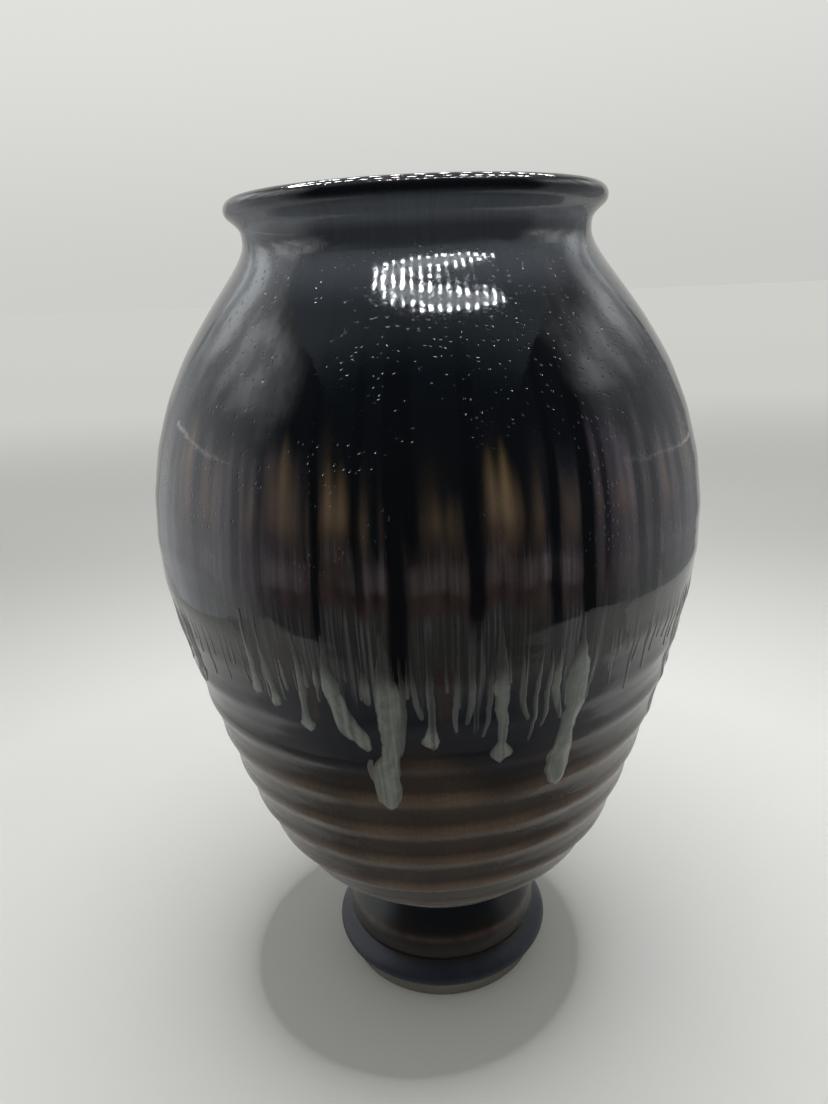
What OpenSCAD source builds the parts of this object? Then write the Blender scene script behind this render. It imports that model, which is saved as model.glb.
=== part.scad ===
// Thrown stoneware vase: four clay sections and the glaze that lies on them.
// Millimetres, Z up, with the origin at the centre of the standing ring.
// Every turned piece is one closed outline of radius and height, spun about Z.

/* [Body] */
// Diameter of the clay at the widest ring of the belly
belly_d = 190.6; // [184:0.2:196]
// Diameter at the knee, where the bowl turns up into the flank
knee_d = 135.8; // [131:0.2:140]
// Diameter of the narrowest ring of the neck
neck_d = 113.6; // [108:0.2:118]
// Rise from the foot's seam to the knee
knee_rise = 36; // [33:0.5:40]
// Rise from the knee to the widest ring
belly_rise = 111; // [106:0.5:116]
// Rise from the widest ring to the narrowest ring of the neck
neck_rise = 95.6; // [93:0.2:97]
// How far the wall leans out at the knee, as a share of its rise
knee_lean_share = 0.45; // [0.4:0.01:0.5]
// Thickness of the thrown wall
wall_t = 6.5; // [5:0.1:7.5]
// Thickness of the floor over the foot
floor_t = 9; // [7:0.5:11]

/* [Body curve] */
// Height over which the bowl leaves the foot
bowl_rise = 11.6; // [10:0.2:13]
// Width over which the bowl leaves the foot
bowl_spread = 21.6; // [19:0.2:24]
// Length of the bowl's pull towards the knee
knee_reach = 5.2; // [3:0.2:8]
// Length of the flank's pull above the knee
flank_reach = 18; // [12:1:24]
// Length of the upright pull below the belly
belly_reach = 27.5; // [20:0.5:36]
// Length of the upright pull above the belly
shoulder_reach = 60; // [54:1:66]
// Length of the upright pull below the neck
neck_reach = 12.6; // [10:0.2:16]

/* [Throwing rings] */
// Height from one throwing ring to the next
ring_pitch = 15; // [12:0.5:18]
// Depth of the hollow between two throwing rings
ring_depth = 1; // [0.4:0.1:1.4]
// Drop from the knee to the nearest crest of a ring
ring_crest_drop = 3; // [0:0.5:8]
// Height over which the rings fade in and out
ring_fade = 26; // [18:1:34]
// Depth of the faint rings on the shoulder, as a share of the deep ones
faint_ring_share = 0.25; // [0:0.05:0.5]

/* [Joints] */
// Drop from the widest ring to the seam between the two body sections
seam_drop = 18.5; // [11:0.5:23]
// Drop from the narrowest ring of the neck to the seam between shoulder and neck
collar_drop = 5.6; // [4.2:0.2:7.6]
// Depth of the tongue and groove in a seam
tongue = 2.4; // [1.5:0.1:3]
// Diameter of the seam between foot and body
joint_d = 68.4; // [66:0.2:71]

/* [Foot] */
// Outer diameter of the standing ring
stand_d = 78; // [75:0.5:80]
// Inner diameter of the standing ring
stand_bore_d = 62; // [58:0.5:65]
// Inner diameter of the foot at the body
foot_bore_d = 47; // [42:0.5:50]
// Height up to which the clay stays bare
bare_h = 9.4; // [8:0.2:10.4]
// Diameter where the glaze stops
bare_d = 84.4; // [82.5:0.1:85]
// Diameter of the rolled bead round the foot
bead_d = 85.4; // [84.4:0.1:87]
// Rise from the bare clay to the bead
bead_rise = 2.6; // [2:0.1:3.2]
// Diameter of the groove over the bead
groove_d = 75.4; // [74:0.1:77]
// Rise from the bead to the groove
groove_rise = 4.4; // [4:0.1:5]
// Diameter of the band over the groove
band_d = 76.2; // [75.6:0.1:78]
// Rise from the groove to the band
band_rise = 3.6; // [2.8:0.1:4.4]
// Diameter of the ridge under the waist
ridge_d = 74.2; // [73:0.1:75.6]
// Rise from the band to the ridge
ridge_rise = 6; // [5:0.1:7]
// Diameter of the waist
waist_d = 60.6; // [58:0.2:62]
// Rise from the ridge to the waist
waist_rise = 10.6; // [9.6:0.1:11.6]
// Rise from the waist to the seam under the body
joint_rise = 7.4; // [6:0.1:9]

/* [Lip] */
// How far the centre of the lip's roll lies outside the narrowest ring of the neck
lip_reach = 2.9; // [1.9:0.1:4.1]
// Rise from the narrowest ring of the neck to the centre of the lip's roll
lip_rise = 9.95; // [8.4:0.05:11.4]
// Diameter of the clay roll that makes the lip
lip_roll_d = 4.5; // [4:0.1:5]
// Angle below level at which the neck runs into the roll
lip_under_angle = 50; // [40:1:60]
// Angle at which the roll turns down into the mouth
lip_inner_angle = 135; // [125:1:150]
// Length of the curve's pull above and below the neck's narrowest ring
cove_reach = 4.6; // [4:0.1:5.2]

/* [Glaze] */
// Thickness of the dark glaze
glaze_t = 1.2; // [0.8:0.1:1.4]
// Thickness of the glaze inside
liner_t = 1; // [0.8:0.1:1.2]
// Drop from the widest ring to where the brown glaze goes under the belly's overlap
overlap_low_drop = 53; // [47:1:57]
// Rise from the widest ring to where the belly's overlap goes under the black glaze
overlap_high_rise = 13; // [6:1:19]
// Thickness of the pale glaze where it lies in a band
pale_t = 0.5; // [0.4:0.1:0.7]
// Drop from the widest ring to the lower edge of the pale band
pale_low_drop = 27; // [26:1:33]
// Drop from the widest ring to the upper edge of the pale band
pale_high_drop = 2; // [0:0.5:6]

/* [Glaze runs] */
// Drop of the longest run below the pale band
run_drop = 45; // [36:1:52]
// Width of the widest run
run_w = 7.6; // [6:0.2:9]
// Width of the largest bulb at the end of a run
bulb_w = 8.2; // [7:0.2:10]
// How far a run stands out from the glaze under it
run_rise = 1.3; // [0.9:0.1:1.6]
// How far the most slanting run wanders sideways
run_lean = 6; // [0:0.5:9]

/* [Hidden] */
$fn = 180;

belly_r = belly_d / 2;
knee_r = knee_d / 2;
neck_r = neck_d / 2;
joint_r = joint_d / 2;
stand_r = stand_d / 2;
stand_bore_r = stand_bore_d / 2;
foot_bore_r = foot_bore_d / 2;
lip_roll_r = lip_roll_d / 2;

// Heights, each worked out from the one below it
bead_h = bare_h + bead_rise;
groove_h = bead_h + groove_rise;
band_h = groove_h + band_rise;
ridge_h = band_h + ridge_rise;
waist_h = ridge_h + waist_rise;
joint_h = waist_h + joint_rise;
floor_h = joint_h + floor_t;
knee_h = joint_h + knee_rise;
belly_h = knee_h + belly_rise;
neck_h = belly_h + neck_rise;
lip_h = neck_h + lip_rise;
lip_centre = [neck_r + lip_reach, lip_h];

// Heights of the seams and of the glazes' edges
overlap_low_h = belly_h - overlap_low_drop;
pale_low_h = belly_h - pale_low_drop;
seam_h = belly_h - seam_drop;
pale_high_h = belly_h - pale_high_drop;
overlap_high_h = belly_h + overlap_high_rise;
collar_h = neck_h - collar_drop;

// Height between two points of a turned outline, fine outside and coarse inside
fine_gap = ring_pitch / 6;
coarse_gap = ring_pitch / 2;
// Number of pieces in each curve of the lip and the recess, and between two points of the foot
curve_parts = 6;
foot_parts = 4;
// Turn between two points of the lip's roll, in degrees
roll_step = 23;
// Thickness of a glaze coat at an open edge, as a share of the coat's
edge_share = 0.55;
// Height of the ring's second wave, as a share of the first, which makes the crests sharper
second_wave_share = 0.25;
// Where the inner wall leaves the floor, as a share of the rise from the foot to the knee
inner_start_share = 0.25;
// Heights of the two points that bend the recess, as shares of the way down from the body
recess_shares = [1 / 3, 2 / 3];
// Places of the three points of the tongue on the foot, as shares of the way in from its edge
tongue_shares = [1 / 4, 1 / 2, 3 / 4];

// Control points of the wall's three curves, each a radius and a height
bowl = [[joint_r, joint_h],
    [joint_r + bowl_spread, joint_h + bowl_rise],
    [knee_r - knee_reach * knee_lean_share, knee_h - knee_reach],
    [knee_r, knee_h]];
flank = [[knee_r, knee_h],
    [knee_r + flank_reach * knee_lean_share, knee_h + flank_reach],
    [belly_r, belly_h - belly_reach],
    [belly_r, belly_h]];
shoulder = [[belly_r, belly_h],
    [belly_r, belly_h + shoulder_reach],
    [neck_r, neck_h - neck_reach],
    [neck_r, neck_h]];

// Lists and curves
function reversed(list) = [for (i = [len(list) - 1:-1:0]) list[i]];
function after_first(list) = [for (i = [1:len(list) - 1]) list[i]];
function mix(a, b, share) = a + (b - a) * share;
function ease(share) = let (s = min(1, max(0, share))) s * s * (3 - 2 * s);
function on_curve(c, t) = c[0] * pow(1 - t, 3) + 3 * c[1] * t * pow(1 - t, 2)
    + 3 * c[2] * t * t * (1 - t) + c[3] * pow(t, 3);
function along_curve(c, t) = (c[1] - c[0]) * pow(1 - t, 2) + 2 * (c[2] - c[1]) * t * (1 - t)
    + (c[3] - c[2]) * t * t;
function outward(way) = [way[1], -way[0]] / norm(way);
function levels(low, high, gap) = let (n = ceil((high - low) / gap))
    [for (i = [0:n]) mix(low, high, i / n)];

// A knot is a point of an outline and the direction that points out of the clay
function curve_knots(c, parts, first = 0) =
    [for (i = [first:parts]) [on_curve(c, i / parts), outward(along_curve(c, i / parts))]];

// The wall at a height: the curve is searched for the point that lies there
function wall_curve(h) = h < knee_h ? bowl : h < belly_h ? flank : shoulder;
function curve_share(c, h, low = 0, high = 1, turns = 24) = let (mid = (low + high) / 2)
    turns == 0 ? mid :
    on_curve(c, mid)[1] < h ? curve_share(c, h, mid, high, turns - 1) :
    curve_share(c, h, low, mid, turns - 1);
function smooth_knot(h) = let (c = wall_curve(h), t = curve_share(c, h))
    [on_curve(c, t), outward(along_curve(c, t))];

// Throwing rings: deep under the seam, faint above it, none at the foot and the neck
function ring_strength(h) = ease((h - joint_h) / ring_fade)
    * mix(1, faint_ring_share, ease((h - seam_h) / ring_fade)) * ease((collar_h - h) / ring_fade);
function ring_wave(h) = let (a = 360 * (h - knee_h + ring_crest_drop) / ring_pitch)
    ring_depth / 2 * ring_strength(h) * (cos(a) + cos(2 * a) * second_wave_share);
function wall_knot(h) = let (k = smooth_knot(h)) [k[0] + k[1] * ring_wave(h), k[1]];

// Heights where a piece begins or ends. All pieces take their knots from the same zones
// between them, so that faces that touch have the same edges.
edges = [joint_h, overlap_low_h, pale_low_h, seam_h, pale_high_h, overlap_high_h, collar_h, neck_h];
at_joint = 0;
at_overlap_low = 1;
at_pale_low = 2;
at_seam = 3;
at_pale_high = 4;
at_overlap_high = 5;
at_collar = 6;
at_neck = 7;
function wall_knots(from, to) = concat([wall_knot(edges[from])],
    [for (i = [from:to - 1]) for (h = after_first(levels(edges[i], edges[i + 1], fine_gap)))
        wall_knot(h)]);
inner_edges = [mix(joint_h, knee_h, inner_start_share), seam_h, collar_h, neck_h];
at_inner_seam = 1;
at_inner_collar = 2;
at_inner_neck = 3;
function inner_knots(from, to) = concat([smooth_knot(inner_edges[from])],
    [for (i = [from:to - 1])
        for (h = after_first(levels(inner_edges[i], inner_edges[i + 1], coarse_gap)))
            smooth_knot(h)]);

// Points that lie at a distance from the knots, and a coat between two distances
function lay(knots, distance) = [for (k = knots) k[0] + k[1] * distance];
function coat(knots, under, over) = concat(lay(knots, over), reversed(lay(knots, under)));
function edge_height(i, last, low_open, high_open) =
    (i == 0 && low_open) || (i == last && high_open) ? edge_share : 1;
function open_coat(knots, under, t, low_open, high_open) = let (last = len(knots) - 1)
    concat([for (i = [0:last])
            knots[i][0] + knots[i][1] * (under + t * edge_height(i, last, low_open, high_open))],
        reversed(lay(knots, under)));

// A seam runs through the wall from outside to inside and dips in the middle
function seam(h) = let (out = wall_knot(h)[0], k = smooth_knot(h), in = k[0] - k[1] * wall_t)
    [out, (out + in) / 2 - [0, tongue], in];

// Points of the foot's outline from the glaze line to the seam under the body
foot_points = [[bare_d / 2, bare_h], [bead_d / 2, bead_h], [groove_d / 2, groove_h],
    [band_d / 2, band_h], [ridge_d / 2, ridge_h], [waist_d / 2, waist_h], [joint_r, joint_h]];
// Direction of the outline at its two ends
foot_start = foot_points[0] - [stand_r, 0];
foot_end = [bowl_spread, bowl_rise];
function foot_way(i) = let (last = len(foot_points) - 1)
    i == 0 ? foot_start / norm(foot_start) * norm(foot_points[1] - foot_points[0]) :
    i == last ? foot_end / norm(foot_end) * norm(foot_points[last] - foot_points[last - 1]) :
    (foot_points[i + 1] - foot_points[i - 1]) / 2;
function foot_span(i) = [foot_points[i], foot_points[i] + foot_way(i) / 3,
    foot_points[i + 1] - foot_way(i + 1) / 3, foot_points[i + 1]];
foot_knots = [for (i = [0:len(foot_points) - 2])
    each curve_knots(foot_span(i), foot_parts, i == 0 ? 0 : 1)];

// The recess under the foot
recess = [[foot_bore_r, joint_h], [foot_bore_r, mix(joint_h, 0, recess_shares[0])],
    [stand_bore_r, mix(joint_h, 0, recess_shares[1])], [stand_bore_r, 0]];
// Tongue that stands on top of the foot and fits the groove under the body
foot_tongue = [[mix(joint_r, foot_bore_r, tongue_shares[0]), joint_h],
    [mix(joint_r, foot_bore_r, tongue_shares[1]), joint_h + tongue],
    [mix(joint_r, foot_bore_r, tongue_shares[2]), joint_h]];

// The lip: a cove from the neck, the roll, and the flare down into the throat
function on_roll(angle) = lip_centre + lip_roll_r * [cos(angle), sin(angle)];
function round_roll(angle) = [-sin(angle), cos(angle)];
cove = [[neck_r, neck_h], [neck_r, neck_h + cove_reach],
    on_roll(-lip_under_angle) - cove_reach * round_roll(-lip_under_angle),
    on_roll(-lip_under_angle)];
throat_r = neck_r - wall_t;
mouth = [on_roll(lip_inner_angle),
    on_roll(lip_inner_angle) + cove_reach * round_roll(lip_inner_angle),
    [throat_r, neck_h + cove_reach], [throat_r, neck_h]];
roll_angles = concat(after_first(levels(-lip_under_angle, 90, roll_step)),
    [for (a = after_first(levels(90, lip_inner_angle, roll_step))) if (a < lip_inner_angle) a]);
roll_knots = [for (a = roll_angles) [on_roll(a), [cos(a), sin(a)]]];
lip_knots = concat(curve_knots(cove, curve_parts, 1), roll_knots, curve_knots(mouth, curve_parts));
neck_knots = wall_knots(at_collar, at_neck);

// The flat floor inside
floor_line = [[0, floor_h], [joint_r, floor_h]];

// Clay: the foot, thrown as an open ring and set under the body
module foot_pedestal()
{
    color("#b3aa98")
    rotate_extrude()
    polygon(concat([[stand_bore_r, 0], [stand_r, 0]], lay(foot_knots, 0), foot_tongue,
        [for (i = [0:curve_parts - 1]) on_curve(recess, i / curve_parts)]));
}

// Clay: the bowl, from the floor over the foot up to the seam under the belly
module lower_body()
{
    color("#a89f8d")
    rotate_extrude()
    polygon(concat([[0, joint_h]], reversed(foot_tongue), lay(wall_knots(at_joint, at_seam), 0),
        [seam(seam_h)[1]], reversed(lay(inner_knots(0, at_inner_seam), -wall_t)),
        reversed(floor_line)));
}

// Clay: belly and shoulder, thrown apart and joined on at the seam
module upper_body()
{
    color("#b0a795")
    rotate_extrude()
    polygon(concat([seam(seam_h)[1]], lay(wall_knots(at_seam, at_collar), 0), [seam(collar_h)[1]],
        reversed(lay(inner_knots(at_inner_seam, at_inner_collar), -wall_t))));
}

// Clay: the neck with its rolled lip
module neck_collar()
{
    color("#aaa18f")
    rotate_extrude()
    polygon(concat([seam(collar_h)[1]], lay(neck_knots, 0), lay(lip_knots, 0),
        after_first(reversed(lay(inner_knots(at_inner_collar, at_inner_neck), -wall_t)))));
}

// Glaze: dark coat of the foot, which ends in a thick edge over the bare clay
module foot_glaze()
{
    color("#1d2233")
    rotate_extrude()
    polygon(open_coat(foot_knots, 0, glaze_t, true, false));
}

// Glaze: brown coat of the bowl
module lower_body_glaze()
{
    color("#4a3429")
    rotate_extrude()
    polygon(coat(wall_knots(at_joint, at_overlap_low), 0, glaze_t));
}

// Glaze: the belly, where the glazes overlap and run into each other
module belly_overlap_glaze()
{
    color("#39323a")
    rotate_extrude()
    polygon(coat(wall_knots(at_overlap_low, at_overlap_high), 0, glaze_t));
}

// Glaze: black coat of the shoulder
module shoulder_glaze()
{
    color("#0f1216")
    rotate_extrude()
    polygon(coat(wall_knots(at_overlap_high, at_collar), 0, glaze_t));
}

// Glaze: black coat of the neck, over the lip and into the mouth
module lip_glaze()
{
    color("#14171c")
    rotate_extrude()
    polygon(coat(concat(neck_knots, lip_knots), 0, glaze_t));
}

// Glaze: the coat inside, poured in and out again
module liner_glaze()
{
    walls = inner_knots(0, at_inner_neck);
    color("#23201f")
    rotate_extrude()
    polygon(concat(floor_line, lay(walls, -wall_t), reversed(lay(walls, -wall_t - liner_t)),
        [[joint_r - liner_t, floor_h + liner_t], [0, floor_h + liner_t]]));
}

// Glaze: the band of pale glaze that feeds the runs
module pale_glaze_band()
{
    color("#6f7d7b")
    rotate_extrude()
    polygon(open_coat(wall_knots(at_pale_low, at_pale_high), glaze_t, pale_t, true, true));
}

// Glaze runs, read round a quarter of the belly from left to right. Each row gives a place
// in the quarter, the drop, the width, the bulb and the sideways wander, as shares.
run_shares = [
    [0.03, 0.12, 0.36, 0.30, 0.0],
    [0.11, 0.18, 0.30, 0.34, 0.2],
    [0.15, 0.26, 0.26, 0.38, 0.3],
    [0.23, 0.36, 0.30, 0.46, 0.3],
    [0.33, 0.51, 0.72, 0.44, 0.8],
    [0.42, 1.00, 0.95, 1.00, -0.5],
    [0.47, 0.20, 0.34, 0.30, 0.0],
    [0.50, 0.48, 0.34, 0.68, -0.1],
    [0.54, 0.33, 0.30, 0.36, 0.1],
    [0.58, 0.26, 0.28, 0.32, 0.1],
    [0.61, 0.40, 0.38, 0.40, 0.0],
    [0.65, 0.63, 0.46, 0.78, -0.1],
    [0.70, 0.30, 0.28, 0.30, 0.1],
    [0.73, 0.47, 0.34, 0.40, 0.0],
    [0.79, 0.95, 0.80, 0.90, 0.2],
    [0.87, 0.34, 0.26, 0.34, 0.0],
    [0.93, 0.20, 0.32, 0.34, 0.0]
];
// Drop of each quarter's runs, front, right, back and left, against the front's
quarter_drop_shares = [1, 0.82, 0.94, 0.76];
// The hidden quarters leave out the runs that drop less than this
short_run_share = 0.25;
// Across a run: how far out from its middle and how high each of its edges lies
across_shares = [[-1, 0], [-0.55, 0.8], [0.55, 0.8], [1, 0], [0, 0]];
// Along a run: the narrowest width and its place, where the bulb starts and how soon it is full
neck_width_share = 0.5;
neck_place_share = 0.7;
swell_start_share = 0.6;
swell_length_share = 0.25;
// Where a run's round end starts, and the square of the width that is left at its tip
end_start_share = 0.85;
tip_share = 0.12;
// Height of a run where it leaves the band, and what the thinnest run keeps of its height
root_rise_share = 0.5;
thin_rise_share = 0.3;
// Fewest rings in a run
fewest_rings = 5;
// Turn of a quarter, in degrees
quarter_turn = 90;

// A point on the glazed wall at a turn about Z, lifted off the glaze
function on_glaze(h, turn, lift) =
    let (k = wall_knot(h), p = k[0] + k[1] * (glaze_t + lift))
    [p[0] * sin(turn), -p[0] * cos(turn), p[1]];

// Half the width of a run at a share of its drop: it narrows and ends in a round bulb
function run_half(share, w, bulb) =
    let (neck = mix(w, w * neck_width_share, ease(share / neck_place_share)),
        swell = ease((share - swell_start_share) / swell_length_share),
        past = max(0, share - end_start_share) / (1 - end_start_share))
    mix(neck, bulb, swell) * sqrt(max(tip_share, 1 - past * past)) / 2;
function run_lift(share, half) = run_rise * mix(root_rise_share, 1, ease(share))
    * min(1, 2 * half / run_w + thin_rise_share);

// One run as rings of five corners each, closed at both ends
module glaze_run(turn, drop, w, bulb, lean)
{
    n = max(fewest_rings, round(drop / fine_gap));
    m = len(across_shares);
    points = [for (i = [0:n]) let (s = i / n, h = pale_low_h - drop * s, r = wall_knot(h)[0][0],
            half = run_half(s, w, bulb), lift = run_lift(s, half))
        each [for (c = across_shares) let (side = c[0] * half + lean * ease(s))
            on_glaze(h, turn + side / r * 180 / PI, c[1] * lift)]];
    sides = [for (i = [0:n - 1]) for (j = [0:m - 1]) let (a = i * m + j, b = i * m + (j + 1) % m)
        each [[a, b, b + m], [a, b + m, a + m]]];
    top = [for (j = [1:m - 2]) [0, j + 1, j]];
    tip = [for (j = [1:m - 2]) [n * m, n * m + j, n * m + j + 1]];
    polyhedron(points, concat(sides, top, tip));
}

// Glaze: the pale runs, hanging from the band round the whole belly
module pale_glaze_runs()
{
    color("#9aaaa4")
    for (q = [0:len(quarter_drop_shares) - 1], row = run_shares)
        let (even = q % 2 == 0, place_share = even ? row[0] : 1 - row[0])
        if (q == 0 || row[1] > short_run_share)
            glaze_run(quarter_turn * (q + place_share) - quarter_turn / 2,
                run_drop * row[1] * quarter_drop_shares[q], run_w * row[2], bulb_w * row[3],
                run_lean * row[4] * (even ? 1 : -1));
}

foot_pedestal();
lower_body();
upper_body();
neck_collar();
foot_glaze();
lower_body_glaze();
belly_overlap_glaze();
shoulder_glaze();
lip_glaze();
liner_glaze();
pale_glaze_band();
pale_glaze_runs();
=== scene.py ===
"""Looks of a thrown stoneware vase: turned clay, poured glazes and the runs of the pale glaze.

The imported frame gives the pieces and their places. Lengths are in metres unless a comment says
mm, turns are in degrees unless it says radians, and turn 0 is the side that faces -Y.
"""

import math
import random

import bpy
import numpy as np
from bpy.props import FloatProperty, FloatVectorProperty, IntProperty, PointerProperty
from mathutils import Matrix, Vector


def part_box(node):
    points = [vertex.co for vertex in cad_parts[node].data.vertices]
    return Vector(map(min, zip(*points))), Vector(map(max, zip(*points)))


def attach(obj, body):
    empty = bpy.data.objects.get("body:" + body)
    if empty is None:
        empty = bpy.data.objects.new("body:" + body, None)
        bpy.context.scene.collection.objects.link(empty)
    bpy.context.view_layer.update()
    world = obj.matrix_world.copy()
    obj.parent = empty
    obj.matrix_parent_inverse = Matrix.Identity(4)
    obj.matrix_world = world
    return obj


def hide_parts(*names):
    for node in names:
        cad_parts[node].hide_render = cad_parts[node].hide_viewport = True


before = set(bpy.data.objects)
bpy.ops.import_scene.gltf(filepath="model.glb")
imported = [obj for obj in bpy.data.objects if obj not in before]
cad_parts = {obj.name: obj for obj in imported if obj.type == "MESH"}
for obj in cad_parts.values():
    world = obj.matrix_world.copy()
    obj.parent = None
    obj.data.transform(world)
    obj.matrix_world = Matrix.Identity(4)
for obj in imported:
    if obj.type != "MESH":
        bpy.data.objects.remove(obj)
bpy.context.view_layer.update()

bl_info = {
    "name": "Thrown stoneware vase",
    "version": (1, 0, 0),
    "blender": (4, 5, 0),
    "location": "3D View > Sidebar > Vase",
    "description": "Makes a glazed stoneware vase with its stage, camera and lights",
    "category": "Object",
}

BODY = "root"
MM = 0.001
FULL_TURN = 2 * math.pi


def length(name, description, default):
    """A size in metres that a user may change."""
    return FloatProperty(name=name, description=description, default=default, min=0,
                         precision=5, subtype="DISTANCE", unit="LENGTH")


def angle(name, description, degrees):
    """An angle that a user may change."""
    return FloatProperty(name=name, description=description, default=math.radians(degrees),
                         subtype="ANGLE", unit="ROTATION")


def share(name, description, default):
    """A number without a unit."""
    return FloatProperty(name=name, description=description, default=default, min=0)


def colour(name, description, default):
    """A linear colour."""
    return FloatVectorProperty(name=name, description=description, default=default,
                               subtype="COLOR", size=3, min=0, max=1)


class VaseForm(bpy.types.PropertyGroup):
    """Sizes of the clay, as the potter would measure them."""

    belly: length("Belly radius", "Radius of the clay at the widest ring", 0.0953)
    knee: length("Knee radius", "Radius where the bowl turns up into the flank", 0.0679)
    neck: length("Neck radius", "Radius of the narrowest ring of the neck", 0.0568)
    joint: length("Joint radius", "Radius of the seam between foot and body", 0.0342)
    joint_height: length("Joint height", "Height of the seam under the body",
                         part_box("lower_body_glaze")[0].z)
    knee_height: length("Knee height", "Height of the knee", 0.080)
    belly_height: length("Belly height", "Height of the widest ring", 0.191)
    neck_height: length("Neck height", "Height of the narrowest ring of the neck", 0.2866)
    collar_height: length("Collar height", "Height of the seam under the neck", 0.281)
    seam_height: length("Seam height", "Height of the seam between the body sections", 0.1725)
    knee_lean: share("Knee lean", "How far the wall leans out at the knee", 0.45)
    bowl_rise: length("Bowl rise", "Height over which the bowl leaves the foot", 0.0116)
    bowl_spread: length("Bowl spread", "Width over which the bowl leaves the foot", 0.0216)
    knee_reach: length("Knee reach", "Pull of the bowl's curve towards the knee", 0.0052)
    flank_reach: length("Flank reach", "Pull of the flank's curve above the knee", 0.018)
    belly_reach: length("Belly reach", "Upright pull of the curve below the belly", 0.0275)
    shoulder_reach: length("Shoulder reach", "Upright pull of the curve above the belly", 0.060)
    neck_reach: length("Neck reach", "Upright pull of the curve below the neck", 0.0126)
    wall: length("Wall", "Thickness of the thrown wall", 0.0065)
    floor: length("Floor height", "Height of the floor inside", 0.053)
    tongue: length("Tongue", "Depth of the tongue and groove in a seam", 0.0024)
    lip: length("Lip radius", "Radius of the middle of the lip's roll", 0.0597)
    lip_height: length("Lip height", "Height of the middle of the lip's roll", 0.29655)
    lip_roll: length("Lip roll", "Radius of the clay roll that makes the lip", 0.00225)
    lip_under: angle("Lip under", "Angle below level where the neck runs into the roll", 50)
    lip_inner: angle("Lip inner", "Angle where the roll turns down into the mouth", 135)
    cove_reach: length("Cove reach", "Pull of the curves above and below the neck", 0.0046)


class VaseFoot(bpy.types.PropertyGroup):
    """Radii and heights of the turned foot."""

    stand: length("Standing ring", "Outer radius of the standing ring", 0.039)
    stand_bore: length("Standing bore", "Inner radius of the standing ring", 0.031)
    bore: length("Bore", "Inner radius of the foot at the body", 0.0235)
    bare: length("Bare radius", "Radius where the glaze stops", 0.0422)
    bare_height: length("Bare height", "Height up to which the clay stays bare", 0.0094)
    bead: length("Bead radius", "Radius of the rolled bead", 0.0427)
    bead_height: length("Bead height", "Height of the bead", 0.012)
    groove: length("Groove radius", "Radius of the groove over the bead", 0.0377)
    groove_height: length("Groove height", "Height of the groove", 0.0164)
    band: length("Band radius", "Radius of the band over the groove", 0.0381)
    band_height: length("Band height", "Height of the band", 0.020)
    ridge: length("Ridge radius", "Radius of the ridge under the waist", 0.0371)
    ridge_height: length("Ridge height", "Height of the ridge", 0.026)
    waist: length("Waist radius", "Radius of the waist", 0.0303)
    waist_height: length("Waist height", "Height of the waist", 0.0366)


class VaseRings(bpy.types.PropertyGroup):
    """Marks that the potter's fingers leave in the wall."""

    pitch: length("Ring pitch", "Height from one throwing ring to the next", 0.015)
    depth: length("Ring depth", "Depth of the hollow between two rings", 0.00075)
    crest: length("First crest", "Height of a ring's crest at the front", 0.077)
    fade: length("Ring fade", "Height over which the rings fade in and out", 0.026)
    faint: share("Faint rings", "Depth of the shoulder's rings against the deep ones", 0.25)
    uneven: share("Unevenness", "How far the rings wander, in radians of their wave", 0.9)
    finger: length("Finger lines", "Depth of the fine lines between the rings", 0.00012)
    hand: length("Hand marks", "How uneven the wall is from place to place", 0.00016)
    bulge: length("Seam bulge", "How far the seam stands out", 0.0004)
    bulge_width: length("Seam bulge width", "Half the height of the seam's bulge", 0.0042)
    tilt: length("Seam tilt", "How much lower the seam runs on the right side", 0.0047)


class VaseGlaze(bpy.types.PropertyGroup):
    """Thickness and edges of the glazes."""

    coat: length("Coat", "Thickness of the dark glaze", 0.0012)
    liner: length("Liner", "Thickness of the glaze inside", 0.001)
    overlap_low: length("Overlap low", "Height where the brown glaze goes under", 0.138)
    overlap_high: length("Overlap high", "Height where the overlap goes under the black", 0.204)
    band: length("Pale band", "Thickness of the pale glaze in its band", 0.00014)
    band_seat: length("Band seat", "How deep the band's thin edges lie in the coat", 0.00005)
    band_low: length("Band low", "Lower edge of the pale band", 0.160)
    band_high: length("Band high", "Upper edge of the pale band", 0.191)
    band_taper: length("Band taper", "Height over which the band's upper edge thins out", 0.008)
    band_fade: length("Band fade", "Height over which the band's lower edge thins out", 0.018)
    run_rise: length("Run rise", "How far a wide run stands out", 0.0007)
    run_sink: length("Run sink", "How deep the underside of a run lies in the coat", 0.0003)


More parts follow.
